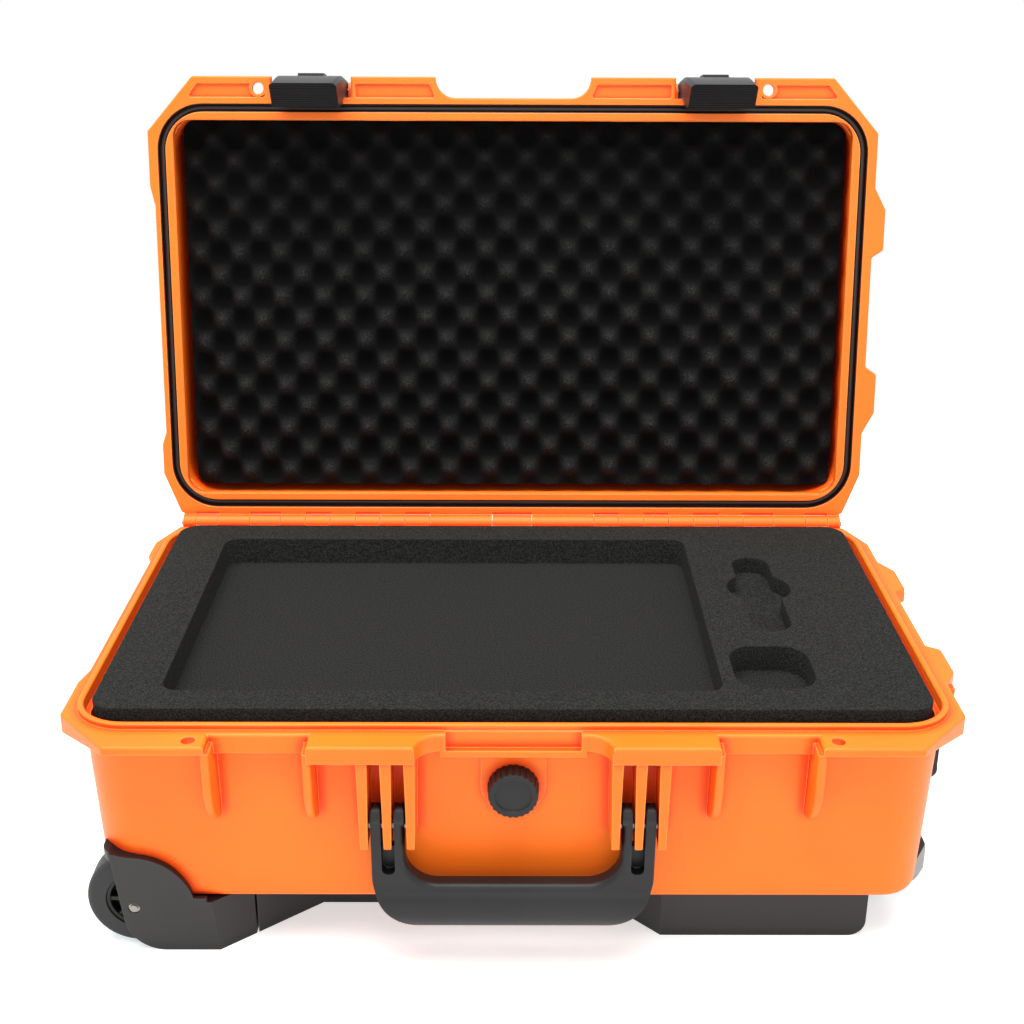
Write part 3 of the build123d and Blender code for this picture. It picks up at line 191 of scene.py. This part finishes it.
def foamSurface(name, look):
    material, surface = newMaterial(name, openCells["sockets"])
    place = objectPlace(material)
    cells = addNode(material, "ShaderNodeTexVoronoi",
                    inputs={"Scale": 1 / (look["cellMm"] * mm), "Randomness": 1.0},
                    links={"Vector": place})
    fine = addNode(material, "ShaderNodeTexNoise",
                   inputs={"Scale": openCells["finer"] / (look["cellMm"] * mm), "Detail": 3.0},
                   links={"Vector": place})
    colour = ramp(material, fine.outputs["Fac"],
                  list(zip(openCells["speckle"], (linear(look["dark"]), linear(look["light"])))))
    relief = addNode(material, "ShaderNodeMath", settings={"operation": "ADD"},
                     links={0: cells.outputs["Distance"], 1: fine.outputs["Fac"]})
    bump = addNode(material, "ShaderNodeBump",
                   inputs={"Strength": openCells["strength"], "Distance": look["depthMm"] * mm},
                   links={"Height": relief.outputs["Value"]})
    feed(material, bump.outputs["Normal"], surface, "Normal")
    return material, surface, colour


def plainFoam(name, look):
    material, surface, colour = foamSurface(name, look)
    feed(material, colour, surface, "Base Color")
    return material


def convolutedFoam(name, look):
    # the piece's own height attribute, 0 in a hollow and 1 on a peak, darkens the hollows as painted shade; the
    # peaks are painted darker towards the top of the lid as well
    material, surface, colour = foamSurface(name, look)
    height = addNode(material, "ShaderNodeAttribute", settings={"attribute_name": "peakHeight"})
    peak = ramp(material, height.outputs["Fac"], list(zip(look["peaks"], (black, white))))
    place = addNode(material, "ShaderNodeSeparateXYZ", links={"Vector": objectPlace(material)})
    # peaks darker higher in the lid: painted shade
    topShade = addNode(material, "ShaderNodeMapRange", settings={"interpolation_type": "SMOOTHSTEP"},
                     inputs={"From Min": look["unshadedBelow"], "From Max": look["shadedAbove"],
                             "To Min": 1.0, "To Max": look["shadedShare"]},
                     links={"Value": place.outputs["Z"]})
    lit = addNode(material, "ShaderNodeMath", settings={"operation": "MULTIPLY"},
                  links={0: peak, 1: topShade.outputs["Result"]})
    shade = addNode(material, "ShaderNodeMix", settings={"data_type": "RGBA"},
                    inputs={"A": linear(look["hollowShade"])},
                    links={"Factor": lit.outputs["Value"], "B": colour})
    feed(material, shade.outputs["Result"], surface, "Base Color")
    return material


charcoalFoam = plainFoam("charcoalFoam", cutFoamLook)
eggCrateFoam = convolutedFoam("eggCrateFoam", eggFoamLook)

# EPDM rubber, extruded: smooth and slightly glossy; its brown tint is painted light, the bounce from the orange
# walls on both sides
sealLook = {"colour": "#26130B", "grainMm": 1.5, "rough": (0.3, 0.42), "depth": 0.15,
            "stretch": (1, 1, 1), "sockets": {"IOR": 1.52, "Specular IOR Level": 0.3}}
# cast polyurethane tyre: matt, slightly green grey
tyreLook = {"colour": "#1D1F1E", "grainMm": 2.0, "rough": (0.5, 0.68), "depth": 0.3,
            "stretch": (1, 1, 1), "sockets": {"IOR": 1.5, "Specular IOR Level": 0.4}}
# anodised aluminium tube: drawn, so its fine lines run along X
tubeLook = {"colour": "#8A8F95", "grainMm": 1.2, "rough": (0.22, 0.36), "depth": 0.15,
            "stretch": (0.02, 1, 1), "sockets": {"Metallic": 1.0}}
# stainless steel pins, turned and polished
pinLook = {"colour": "#86837E", "grainMm": 1.5, "rough": (0.22, 0.34), "depth": 0.08,
           "stretch": (1, 1, 1), "sockets": {"Metallic": 1.0}}


def plainFinish(name, look):
    material, surface = newMaterial(name, look["sockets"])
    surface.inputs["Base Color"].default_value = linear(look["colour"])
    turned = addNode(material, "ShaderNodeMapping", inputs={"Scale": look["stretch"]},
                     links={"Vector": objectPlace(material)})
    grain = addNode(material, "ShaderNodeTexNoise",
                    inputs={"Scale": 1 / (look["grainMm"] * mm), "Detail": 3.0},
                    links={"Vector": turned.outputs["Vector"]})
    dull = addNode(material, "ShaderNodeMapRange",
                   inputs={"To Min": look["rough"][0], "To Max": look["rough"][1]},
                   links={"Value": grain.outputs["Fac"]})
    feed(material, dull.outputs["Result"], surface, "Roughness")
    bump = addNode(material, "ShaderNodeBump",
                   inputs={"Strength": look["depth"], "Distance": grainHeight},
                   links={"Height": grain.outputs["Fac"]})
    feed(material, bump.outputs["Normal"], surface, "Normal")
    return material


sealRubber = plainFinish("sealRubber", sealLook)
tyreUrethane = plainFinish("tyreUrethane", tyreLook)
drawnAluminium = plainFinish("drawnAluminium", tubeLook)
stainlessSteel = plainFinish("stainlessSteel", pinLook)

print("finishing the frame's own parts")
slotFinishes = {
    "orange_shell": orangePolypropylene,
    "black_plastic": blackPolypropylene,
    "grey_plastic": greyNylon,
    "foam": charcoalFoam,
    "gasket": sealRubber,
    "tyre": tyreUrethane,
    "tube_alloy": drawnAluminium,
    "steel": stainlessSteel,
}
nodeFinishes = {
    "wheel_housing_front": charcoalNylon,
    "wheel_housing_rear": charcoalNylon,
    "trolley_housing": charcoalNylon,
    "latch_right": glossyNylon,
    "latch_left": glossyNylon,
}
for part in frame["record"]["subparts"]:
    node = nodes[part["node"]]
    node.data.materials.clear()
    node.data.materials.append(nodeFinishes.get(part["node"], slotFinishes[part["material_slot"]]))


def deselectAll():
    if bpy.context.object and bpy.context.object.mode != "OBJECT":
        bpy.ops.object.mode_set(mode="OBJECT")
    bpy.ops.object.select_all(action="DESELECT")


def pick(obj):
    deselectAll()
    obj.select_set(True)
    bpy.context.view_layer.objects.active = obj


def editAll(obj):
    pick(obj)
    bpy.ops.object.mode_set(mode="EDIT")
    bpy.ops.mesh.select_all(action="SELECT")


def leaveEdit():
    bpy.ops.object.mode_set(mode="OBJECT")


lidHinge = joints["lid_hinge"]
hingeLine = Vector(lidHinge["pos_m"])
rimZ = hingeLine.z                     # parting plane of the closed case


def swingOpen(obj):
    # from the closed lid's place to the open stop, where the joint rests
    turn = Matrix.Rotation(math.radians(-lidHinge["range_deg"][1]), 4, "X")
    obj.data.transform(Matrix.Translation(hingeLine) @ turn @ Matrix.Translation(-hingeLine))


def finishPiece(obj, name, material, body, smoothDeg):
    pick(obj)
    bpy.ops.object.transform_apply(location=True, rotation=True, scale=True)
    bpy.ops.object.shade_smooth_by_angle(angle=math.radians(smoothDeg))
    obj.name = name
    obj.data.name = name
    obj.data.materials.clear()
    obj.data.materials.append(material)
    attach(obj, body)


print("cutting the lid's egg-crate foam")
# mm in the closed lid, heights above the rim; the cut sheet lies a little askew behind the lip and is
# short of the wall at the left and along the hinge
lidFoam = {"x": (-249.0, 251.5), "y": (-140.9, 137.6), "corner": 9.0,
           "peak": 10.8, "valley": 27.0, "spare": 1.0, "back": 53.0, "backCorner": 17.0,
           "pitchX": 31.50, "pitchY": 33.98, "turnDeg": -0.86, "start": (27.8, 4.8), "sharpness": 1.35,
           "uneven": 0.9, "unevenMm": 24, "edgeMm": 11.0, "edgeHeight": 0.42, "edgeShare": 0.3,
           "stepsX": 190, "stepsY": 106, "smoothDeg": 60}


def foamHeight(x, y):
    # 1 on a peak and 0 in a hollow; peaks stand in rows that are offset by half a pitch
    s = lidFoam
    turned = Matrix.Rotation(math.radians(-s["turnDeg"]), 2) @ (Vector((x, y)) - Vector(s["start"]))
    waveX = math.cos(2 * math.pi * turned.x / s["pitchX"])
    waveY = math.cos(2 * math.pi * turned.y / s["pitchY"])
    high = (0.5 + 0.5 * waveX * waveY) ** s["sharpness"]
    inside = min(x - s["x"][0], s["x"][1] - x, y - s["y"][0], s["y"][1] - y) / s["edgeMm"]
    share = s["edgeShare"] + (1 - s["edgeShare"]) * min(max(inside, 0.0), 1.0)
    return s["edgeHeight"] + (high - s["edgeHeight"]) * share


def roundedPlan(x, y, halfX, halfY, corner):
    # pulls a point of a rectangle's corner in to the corner's arc
    overX, overY = abs(x) - (halfX - corner), abs(y) - (halfY - corner)
    if overX <= 0 or overY <= 0:
        return x, y
    reach = max(overX, overY) / math.hypot(overX, overY)
    return (math.copysign(halfX - corner + overX * reach, x),
            math.copysign(halfY - corner + overY * reach, y))


def eggCrate():
    s = lidFoam
    deselectAll()
    bpy.ops.mesh.primitive_grid_add(x_subdivisions=s["stepsX"], y_subdivisions=s["stepsY"], size=1)
    foam = bpy.context.object
    heights = []
    middleX, middleY = sum(s["x"]) / 2, sum(s["y"]) / 2
    halfX, halfY = s["x"][1] - middleX, s["y"][1] - middleY
    for v in foam.data.vertices:
        x, y = roundedPlan(v.co.x * 2 * halfX, v.co.y * 2 * halfY, halfX, halfY, s["corner"])
        x, y = x + middleX, y + middleY
        high = foamHeight(x, y)
        rough = s["uneven"] * noise.noise(Vector((x, y, 0)) / s["unevenMm"])
        heights.append(high)
        rise = s["valley"] - (s["valley"] - s["peak"] - s["spare"]) * high + rough
        v.co = (x * mm, y * mm, rimZ + rise * mm)
    tint = foam.data.attributes.new("peakHeight", "FLOAT", "POINT")
    tint.data.foreach_set("value", heights)
    editAll(foam)
    bpy.ops.mesh.extrude_region_move()
    leaveEdit()
    for v in foam.data.vertices:
        if v.select:
            # the lid's own corners are wide behind the lip
            x, y = roundedPlan(v.co.x / mm - middleX, v.co.y / mm - middleY,
                               halfX, halfY, s["backCorner"])
            v.co = ((x + middleX) * mm, (y + middleY) * mm, rimZ + s["back"] * mm)
    editAll(foam)
    bpy.ops.mesh.normals_make_consistent(inside=False)
    leaveEdit()
    swingOpen(foam)
    finishPiece(foam, "lidEggCrateFoam", eggCrateFoam, "lid", s["smoothDeg"])
    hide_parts("lid_foam")


eggCrate()

print("laying the seal in the lid's groove, and the bead on its lip")
# each ring is drawn face up from its outer edge: width and height of its wall, then pairs of inset and
# rise in turn; back is its height above the rim once it lies in the closed lid
seal = {"halfX": 264.4, "halfY": 152.4, "corner": 34.4, "width": 5.8, "back": 9.0, "wallHeight": 7.6,
        "steps": ((0.2, 0.2), (0.25, -0.1), (0.05, -4.9), (0.35, 0.0), (0.15, 1.5), (0.45, 0.45),
                  (0.6, 0.2))}
lipBead = {"halfX": 253.8, "halfY": 141.8, "corner": 13.3, "width": 1.1, "back": 2.4,
           "wallHeight": 1.95, "steps": ((0.2, 0.2), (0.15, 0.1))}
rings = {"cornerSteps": 14, "smoothDeg": 50}


def ring(look):
    # closed loop round the lid's mouth, laid face down in the lid
    deselectAll()
    bpy.ops.mesh.primitive_plane_add(size=1)
    loop = bpy.context.object
    loop.scale = (2 * look["halfX"] * mm, 2 * look["halfY"] * mm, 1)
    bpy.ops.object.transform_apply(scale=True)
    editAll(loop)
    bpy.ops.mesh.bevel(offset=look["corner"] * mm, offset_type="OFFSET", segments=rings["cornerSteps"],
                       profile=0.5, affect="VERTICES", clamp_overlap=False)
    bpy.ops.mesh.inset(thickness=look["width"] * mm)
    bpy.ops.mesh.delete(type="FACE")
    bpy.ops.mesh.select_all(action="SELECT")
    bpy.ops.mesh.extrude_region_move(TRANSFORM_OT_translate={"value": (0, 0, look["wallHeight"] * mm)})
    for thickness, rise in look["steps"]:
        bpy.ops.mesh.inset(thickness=thickness * mm, use_boundary=True)
        bpy.ops.transform.translate(value=(0, 0, rise * mm))
    bpy.ops.mesh.select_all(action="SELECT")
    bpy.ops.mesh.normals_make_consistent(inside=False)
    leaveEdit()
    faceDown = Matrix.Rotation(math.pi, 4, "X")
    loop.data.transform(Matrix.Translation((0, 0, rimZ + look["back"] * mm)) @ faceDown)
    swingOpen(loop)
    return loop


lidSeal = ring(seal)
finishPiece(lidSeal, "lidSeal", sealRubber, "lid", rings["smoothDeg"])
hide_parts("lid_gasket")
lidLipBead = ring(lipBead)
finishPiece(lidLipBead, "lidLipBead", orangePolypropylene, "lid", rings["smoothDeg"])

print("adding the lip's tabs and the webs behind the hinge")
# bury is how far a bar runs into the lid's wall beside it
lipTabs = {"x": 91.0, "length": 37.0, "wall": 141.5, "proud": 0.9, "depth": (0.1, 3.2), "round": 0.4,
           "bury": 0.4}
hingeWebs = {"centres": (0.0, 73.9, 112.9, 151.9, 193.0, 238.5),
             "halves": (15.3, 9.5, 9.5, 9.5, 11.8, 8.5),
             "y": (157.0, 158.48), "rise": (0.8, 4.8), "round": 0.3, "bury": 0.4}
barLook = {"segments": 3, "smoothDeg": 40}


def roundedBar(low, high, radius):
    # small bar between two corners in mm, measured from the rim in z, with its edges rounded
    middle = [(a + b) / 2 for a, b in zip(low, high)]
    deselectAll()
    bpy.ops.mesh.primitive_cube_add(size=1, location=[c * mm for c in middle])
    bar = bpy.context.object
    bar.scale = [abs(b - a) * mm for a, b in zip(low, high)]
    bpy.ops.object.transform_apply(location=True, rotation=False, scale=True)
    editAll(bar)
    bpy.ops.mesh.bevel(offset=radius * mm, segments=barLook["segments"], affect="EDGES")
    leaveEdit()
    bar.data.transform(Matrix.Translation((0, 0, rimZ)))
    return bar


def joined(bars):
    deselectAll()
    for bar in bars:
        bar.select_set(True)
    bpy.context.view_layer.objects.active = bars[0]
    bpy.ops.object.join()
    return bpy.context.object


def lipTabBars():
    s = lipTabs
    bars = []
    for side in (-1, 1):
        low, high = sorted((side * (s["wall"] + s["bury"]), side * (s["wall"] - s["proud"])))
        for x in (-s["x"], s["x"]):
            bars.append(roundedBar((x - s["length"] / 2, low, s["depth"][0]),
                                   (x + s["length"] / 2, high, s["depth"][1]), s["round"]))
    return bars


def hingeWebBars():
    s = hingeWebs
    bars = []
    for centre, half in zip(s["centres"], s["halves"]):
        reach = half + s["bury"]
        for x in {centre, -centre}:
            bars.append(roundedBar((x - reach, s["y"][0], s["rise"][0]),
                                   (x + reach, s["y"][1], s["rise"][1]), s["round"]))
    return bars


for name, bars in (("lidLipTabs", lipTabBars()), ("lidHingeWebs", hingeWebBars())):
    piece = joined(bars)
    swingOpen(piece)
    finishPiece(piece, name, orangePolypropylene, "lid", barLook["smoothDeg"])

print("trimming the mouldings round the wheels")
# x and z in mm on the front moulding. toe: rounded lower corner; crest: top edge swept down from the
# brow to the plate; left, below and above are where the cutters end, clear of the moulding
wheelMoulding = {"left": -262.0, "below": -6.0, "above": 82.0,
                 "toeX": -217.0, "toeRadius": 25.0, "toeSteps": 16, "toeEdge": (-245.9, 68.4),
                 "toeY": (-146.4, -142.3), "crestY": (-153.0, -125.0),
                 "crest": ((-262.0, 75.3), (-246.8, 74.95), (-242.8, 73.55), (-239.0, 72.5),
                           (-234.0, 71.75), (-229.0, 71.15)),
                 # the plate's face leans, and so does the filler beside it: x and y at foot and top
                 "filler": (((-190.2, -147.0), (-183.94, -147.0), (-182.6, -146.0), (-190.2, -146.0)),
                            ((-190.2, -149.25), (-186.72, -149.25), (-182.6, -146.0), (-190.2, -146.0))),
                 "fillerTop": 37.5, "smoothDeg": 35}
copyWeldMm = 0.002                     # closes the seams between a copied solid's faces


def copyOf(node):
    # plain copy of one of the frame's solids, to be cut and shown in its place
    deselectAll()
    piece = nodes[node].copy()
    piece.data = nodes[node].data.copy()
    piece.parent = None
    for key in list(piece.keys()):
        del piece[key]
    bpy.context.scene.collection.objects.link(piece)
    editAll(piece)
    bpy.ops.mesh.remove_doubles(threshold=copyWeldMm * mm)
    bpy.ops.mesh.normals_make_consistent(inside=False)
    leaveEdit()
    bpy.ops.mesh.customdata_custom_splitnormals_clear()
    return piece


def combine(piece, cutter, operation):
    pick(piece)
    boolean = piece.modifiers.new("cut", "BOOLEAN")
    boolean.operation = operation
    boolean.solver = "EXACT"
    boolean.object = cutter
    bpy.ops.object.modifier_apply(modifier="cut")
    bpy.data.objects.remove(cutter)


def slab(outline, yLow, yHigh):
    # flat shape drawn in x and z, in mm, extruded from yLow to yHigh
    deselectAll()
    bpy.ops.mesh.primitive_circle_add(vertices=len(outline), radius=1, fill_type="NGON")
    shape = bpy.context.object
    for v, (x, z) in zip(shape.data.vertices, outline):
        v.co = (x * mm, yLow * mm, z * mm)
    editAll(shape)
    bpy.ops.mesh.extrude_region_move(TRANSFORM_OT_translate={"value": (0, (yHigh - yLow) * mm, 0)})
    bpy.ops.mesh.select_all(action="SELECT")
    bpy.ops.mesh.normals_make_consistent(inside=False)
    leaveEdit()
    return shape


def toeOutline():
    s = wheelMoulding
    arc = [math.radians(270 - 90 * i / s["toeSteps"]) for i in range(s["toeSteps"] + 1)]
    toe = [(s["toeX"] + s["toeRadius"] * math.cos(a), s["toeRadius"] * (1 + math.sin(a))) for a in arc]
    return toe + [s["toeEdge"], (s["left"], s["toeEdge"][1]), (s["left"], s["below"]),
                  (s["toeX"], s["below"])]


def crestOutline():
    s = wheelMoulding
    return list(s["crest"]) + [(s["crest"][-1][0], s["above"]), (s["left"], s["above"])]


def plateFiller(side):
    # closes the step between the leaning plate and the block's diagonal face
    deselectAll()
    bpy.ops.mesh.primitive_cube_add(size=1)
    wedge = bpy.context.object
    foot, top = wheelMoulding["filler"]
    order = {(-1, -1): 0, (1, -1): 1, (1, 1): 2, (-1, 1): 3}
    for v in wedge.data.vertices:
        corner = order[(round(2 * v.co.x), round(2 * v.co.y))]
        (x, y), z = (top[corner], wheelMoulding["fillerTop"]) if v.co.z > 0 else (foot[corner], 0)
        v.co = (x * mm, -side * y * mm, z * mm)
    editAll(wedge)
    bpy.ops.mesh.normals_make_consistent(inside=False)
    leaveEdit()
    return wedge


def trimmedMoulding(node, name, side):
    # side is -1 for the front moulding and 1 for its mirror image behind
    s = wheelMoulding
    piece = copyOf(node)
    for outline, (near, far) in ((toeOutline(), s["toeY"]), (crestOutline(), s["crestY"])):
        low, high = sorted((-side * near, -side * far))
        combine(piece, slab(outline, low, high), "DIFFERENCE")
    combine(piece, plateFiller(side), "UNION")
    finishPiece(piece, name, charcoalNylon, "base", s["smoothDeg"])
    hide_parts(node)


trimmedMoulding("wheel_housing_front", "wheelMouldingFront", -1)
trimmedMoulding("wheel_housing_rear", "wheelMouldingRear", 1)

print("softening the cut foam in the base")
cutBlocks = {"laptop_foam_insert": ("laptopFoam", 2.6), "base_foam_block": ("lowerFoam", 3.0)}
cutEdge = {"weldMm": 0.02, "flatDeg": 1.5, "sharpDeg": 40, "segments": 4, "smoothDeg": 40}


def softBlock(node, name, radius):
    block = copyOf(node)
    editAll(block)
    bpy.ops.mesh.remove_doubles(threshold=cutEdge["weldMm"] * mm)
    bpy.ops.mesh.dissolve_limited(angle_limit=math.radians(cutEdge["flatDeg"]))
    leaveEdit()
    bevel = block.modifiers.new("cutEdge", "BEVEL")
    bevel.width = radius * mm
    bevel.segments = cutEdge["segments"]
    bevel.limit_method = "ANGLE"
    bevel.angle_limit = math.radians(cutEdge["sharpDeg"])
    bpy.ops.object.modifier_apply(modifier="cutEdge")
    finishPiece(block, name, charcoalFoam, "base", cutEdge["smoothDeg"])
    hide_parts(node)


for node, (name, radius) in cutBlocks.items():
    softBlock(node, name, radius)

print("setting the studio")
# metres; the glow's tint takes back the orange that the case throws on the floor
studio = {"floorSize": 14.0, "floor": "#E4E4E4", "floorRough": 0.85,
          "glow": 0.50, "glowTint": (0.91, 1.0, 1.0, 1), "whiteFrom": 0.55, "whiteTo": 1.25,
          "skyStrength": 0.50, "sky": (0.93, 0.95, 1.0, 1)}
warmWhite, plainWhite = (1.0, 0.985, 0.96), (1.0, 1.0, 1.0)
softBoxes = {
    "topSoftBox": {"place": (-0.25, -0.25, 2.3), "size": (2.4, 1.7), "energy": 94.0, "tint": warmWhite},
    "frontSoftBox": {"place": (0.3, -2.7, 1.15), "size": (2.6, 1.5), "energy": 25.0, "tint": plainWhite},
    "rightSoftBox": {"place": (2.2, -0.4, 1.1), "size": (1.2, 1.4), "energy": 12.0, "tint": plainWhite},
    "leftSoftBox": {"place": (-2.2, -0.4, 1.1), "size": (1.2, 1.4), "energy": 12.0, "tint": plainWhite},
}
aim = Vector((0, 0, 0.15))             # all the lamps face the middle of the case


def floorMaterial():
    # matt painted board: seen by the camera it fades to pure white away from the case, and keeps the
    # shadow near it
    material, surface = newMaterial("whiteBoard", {"Base Color": linear(studio["floor"]),
                                                   "Roughness": studio["floorRough"]})
    rays = addNode(material, "ShaderNodeLightPath")
    seen = addNode(material, "ShaderNodeMath", settings={"operation": "MAXIMUM"},
                   links={0: rays.outputs["Is Camera Ray"], 1: rays.outputs["Is Glossy Ray"]})
    glow = addNode(material, "ShaderNodeEmission",
                   inputs={"Color": studio["glowTint"], "Strength": studio["glow"]})
    lit = addNode(material, "ShaderNodeAddShader",
                  links={0: surface.outputs["BSDF"], 1: glow.outputs["Emission"]})
    sheet = addNode(material, "ShaderNodeEmission", inputs={"Color": white, "Strength": 1.0})
    far = addNode(material, "ShaderNodeVectorMath", settings={"operation": "LENGTH"},
                  links={0: objectPlace(material)})
    fade = addNode(material, "ShaderNodeMapRange", settings={"interpolation_type": "SMOOTHSTEP"},
                   inputs={"From Min": studio["whiteFrom"], "From Max": studio["whiteTo"]},
                   links={"Value": far.outputs["Value"]})
    near = addNode(material, "ShaderNodeMixShader",
                   links={0: fade.outputs["Result"], 1: lit.outputs["Shader"],
                          2: sheet.outputs["Emission"]})
    out = addNode(material, "ShaderNodeMixShader",
                  links={0: seen.outputs["Value"], 1: surface.outputs["BSDF"],
                         2: near.outputs["Shader"]})
    feed(material, out.outputs["Shader"], material.node_tree.nodes["Material Output"], "Surface")
    return material


def addFloor():
    deselectAll()
    bpy.ops.mesh.primitive_plane_add(size=studio["floorSize"], location=(0, 0, 0))
    floor = bpy.context.object
    floor.name = "studioFloor"
    floor.data.materials.append(floorMaterial())


def addSky():
    # soft light all round; white where a camera, glossy or glass ray meets it
    world = bpy.data.worlds.new("studioSky")
    bpy.context.scene.world = world
    world.use_nodes = True
    sky = world.node_tree.nodes["Background"]
    sky.inputs["Color"].default_value = studio["sky"]
    sky.inputs["Strength"].default_value = studio["skyStrength"]
    rays = addNode(world, "ShaderNodeLightPath")
    some = addNode(world, "ShaderNodeMath", settings={"operation": "MAXIMUM"},
                   links={0: rays.outputs["Is Camera Ray"], 1: rays.outputs["Is Glossy Ray"]})
    seen = addNode(world, "ShaderNodeMath", settings={"operation": "MAXIMUM"},
                   links={0: some.outputs["Value"], 1: rays.outputs["Is Transmission Ray"]})
    bright = addNode(world, "ShaderNodeBackground", inputs={"Color": white, "Strength": 1.0})
    mix = addNode(world, "ShaderNodeMixShader",
                  links={0: seen.outputs["Value"], 1: sky.outputs["Background"],
                         2: bright.outputs["Background"]})
    feed(world, mix.outputs["Shader"], world.node_tree.nodes["World Output"], "Surface")


def addSoftBox(name, box):
    light = bpy.data.lights.new(name, "AREA")
    light.shape = "RECTANGLE"
    light.size, light.size_y = box["size"]
    light.energy = box["energy"]
    light.color = box["tint"]
    lamp = bpy.data.objects.new(name, light)
    bpy.context.scene.collection.objects.link(lamp)
    lamp.location = box["place"]
    lamp.rotation_euler = (aim - Vector(box["place"])).to_track_quat("-Z", "Y").to_euler()


addFloor()
addSky()
for name, box in softBoxes.items():
    addSoftBox(name, box)

print("placing the camera")
camera = {"place": (-0.0049, -0.9016, 0.6060), "pitch": 22.17, "yaw": 0.2636, "roll": 0.2427,
          "lens": 51.667, "sensor": 36.0, "near": 0.01, "far": 50}


def addCamera():
    data = bpy.data.cameras.new("studioCamera")
    data.lens = camera["lens"]
    data.sensor_width = camera["sensor"]
    data.clip_start = camera["near"]
    data.clip_end = camera["far"]
    obj = bpy.data.objects.new("studioCamera", data)
    bpy.context.scene.collection.objects.link(obj)
    pitch, yaw, roll = (math.radians(camera[k]) for k in ("pitch", "yaw", "roll"))
    ahead = Vector((math.sin(yaw) * math.cos(pitch), math.cos(yaw) * math.cos(pitch), -math.sin(pitch)))
    side = ahead.cross(Vector((0, 0, 1))).normalized()
    up = side.cross(ahead)
    right = math.cos(roll) * side + math.sin(roll) * up
    top = right.cross(ahead)
    turn = Matrix((right, top, -ahead)).transposed()
    obj.matrix_world = Matrix.Translation(camera["place"]) @ turn.to_4x4()
    bpy.context.scene.camera = obj


addCamera()
bpy.context.scene.view_settings.view_transform = "Standard"
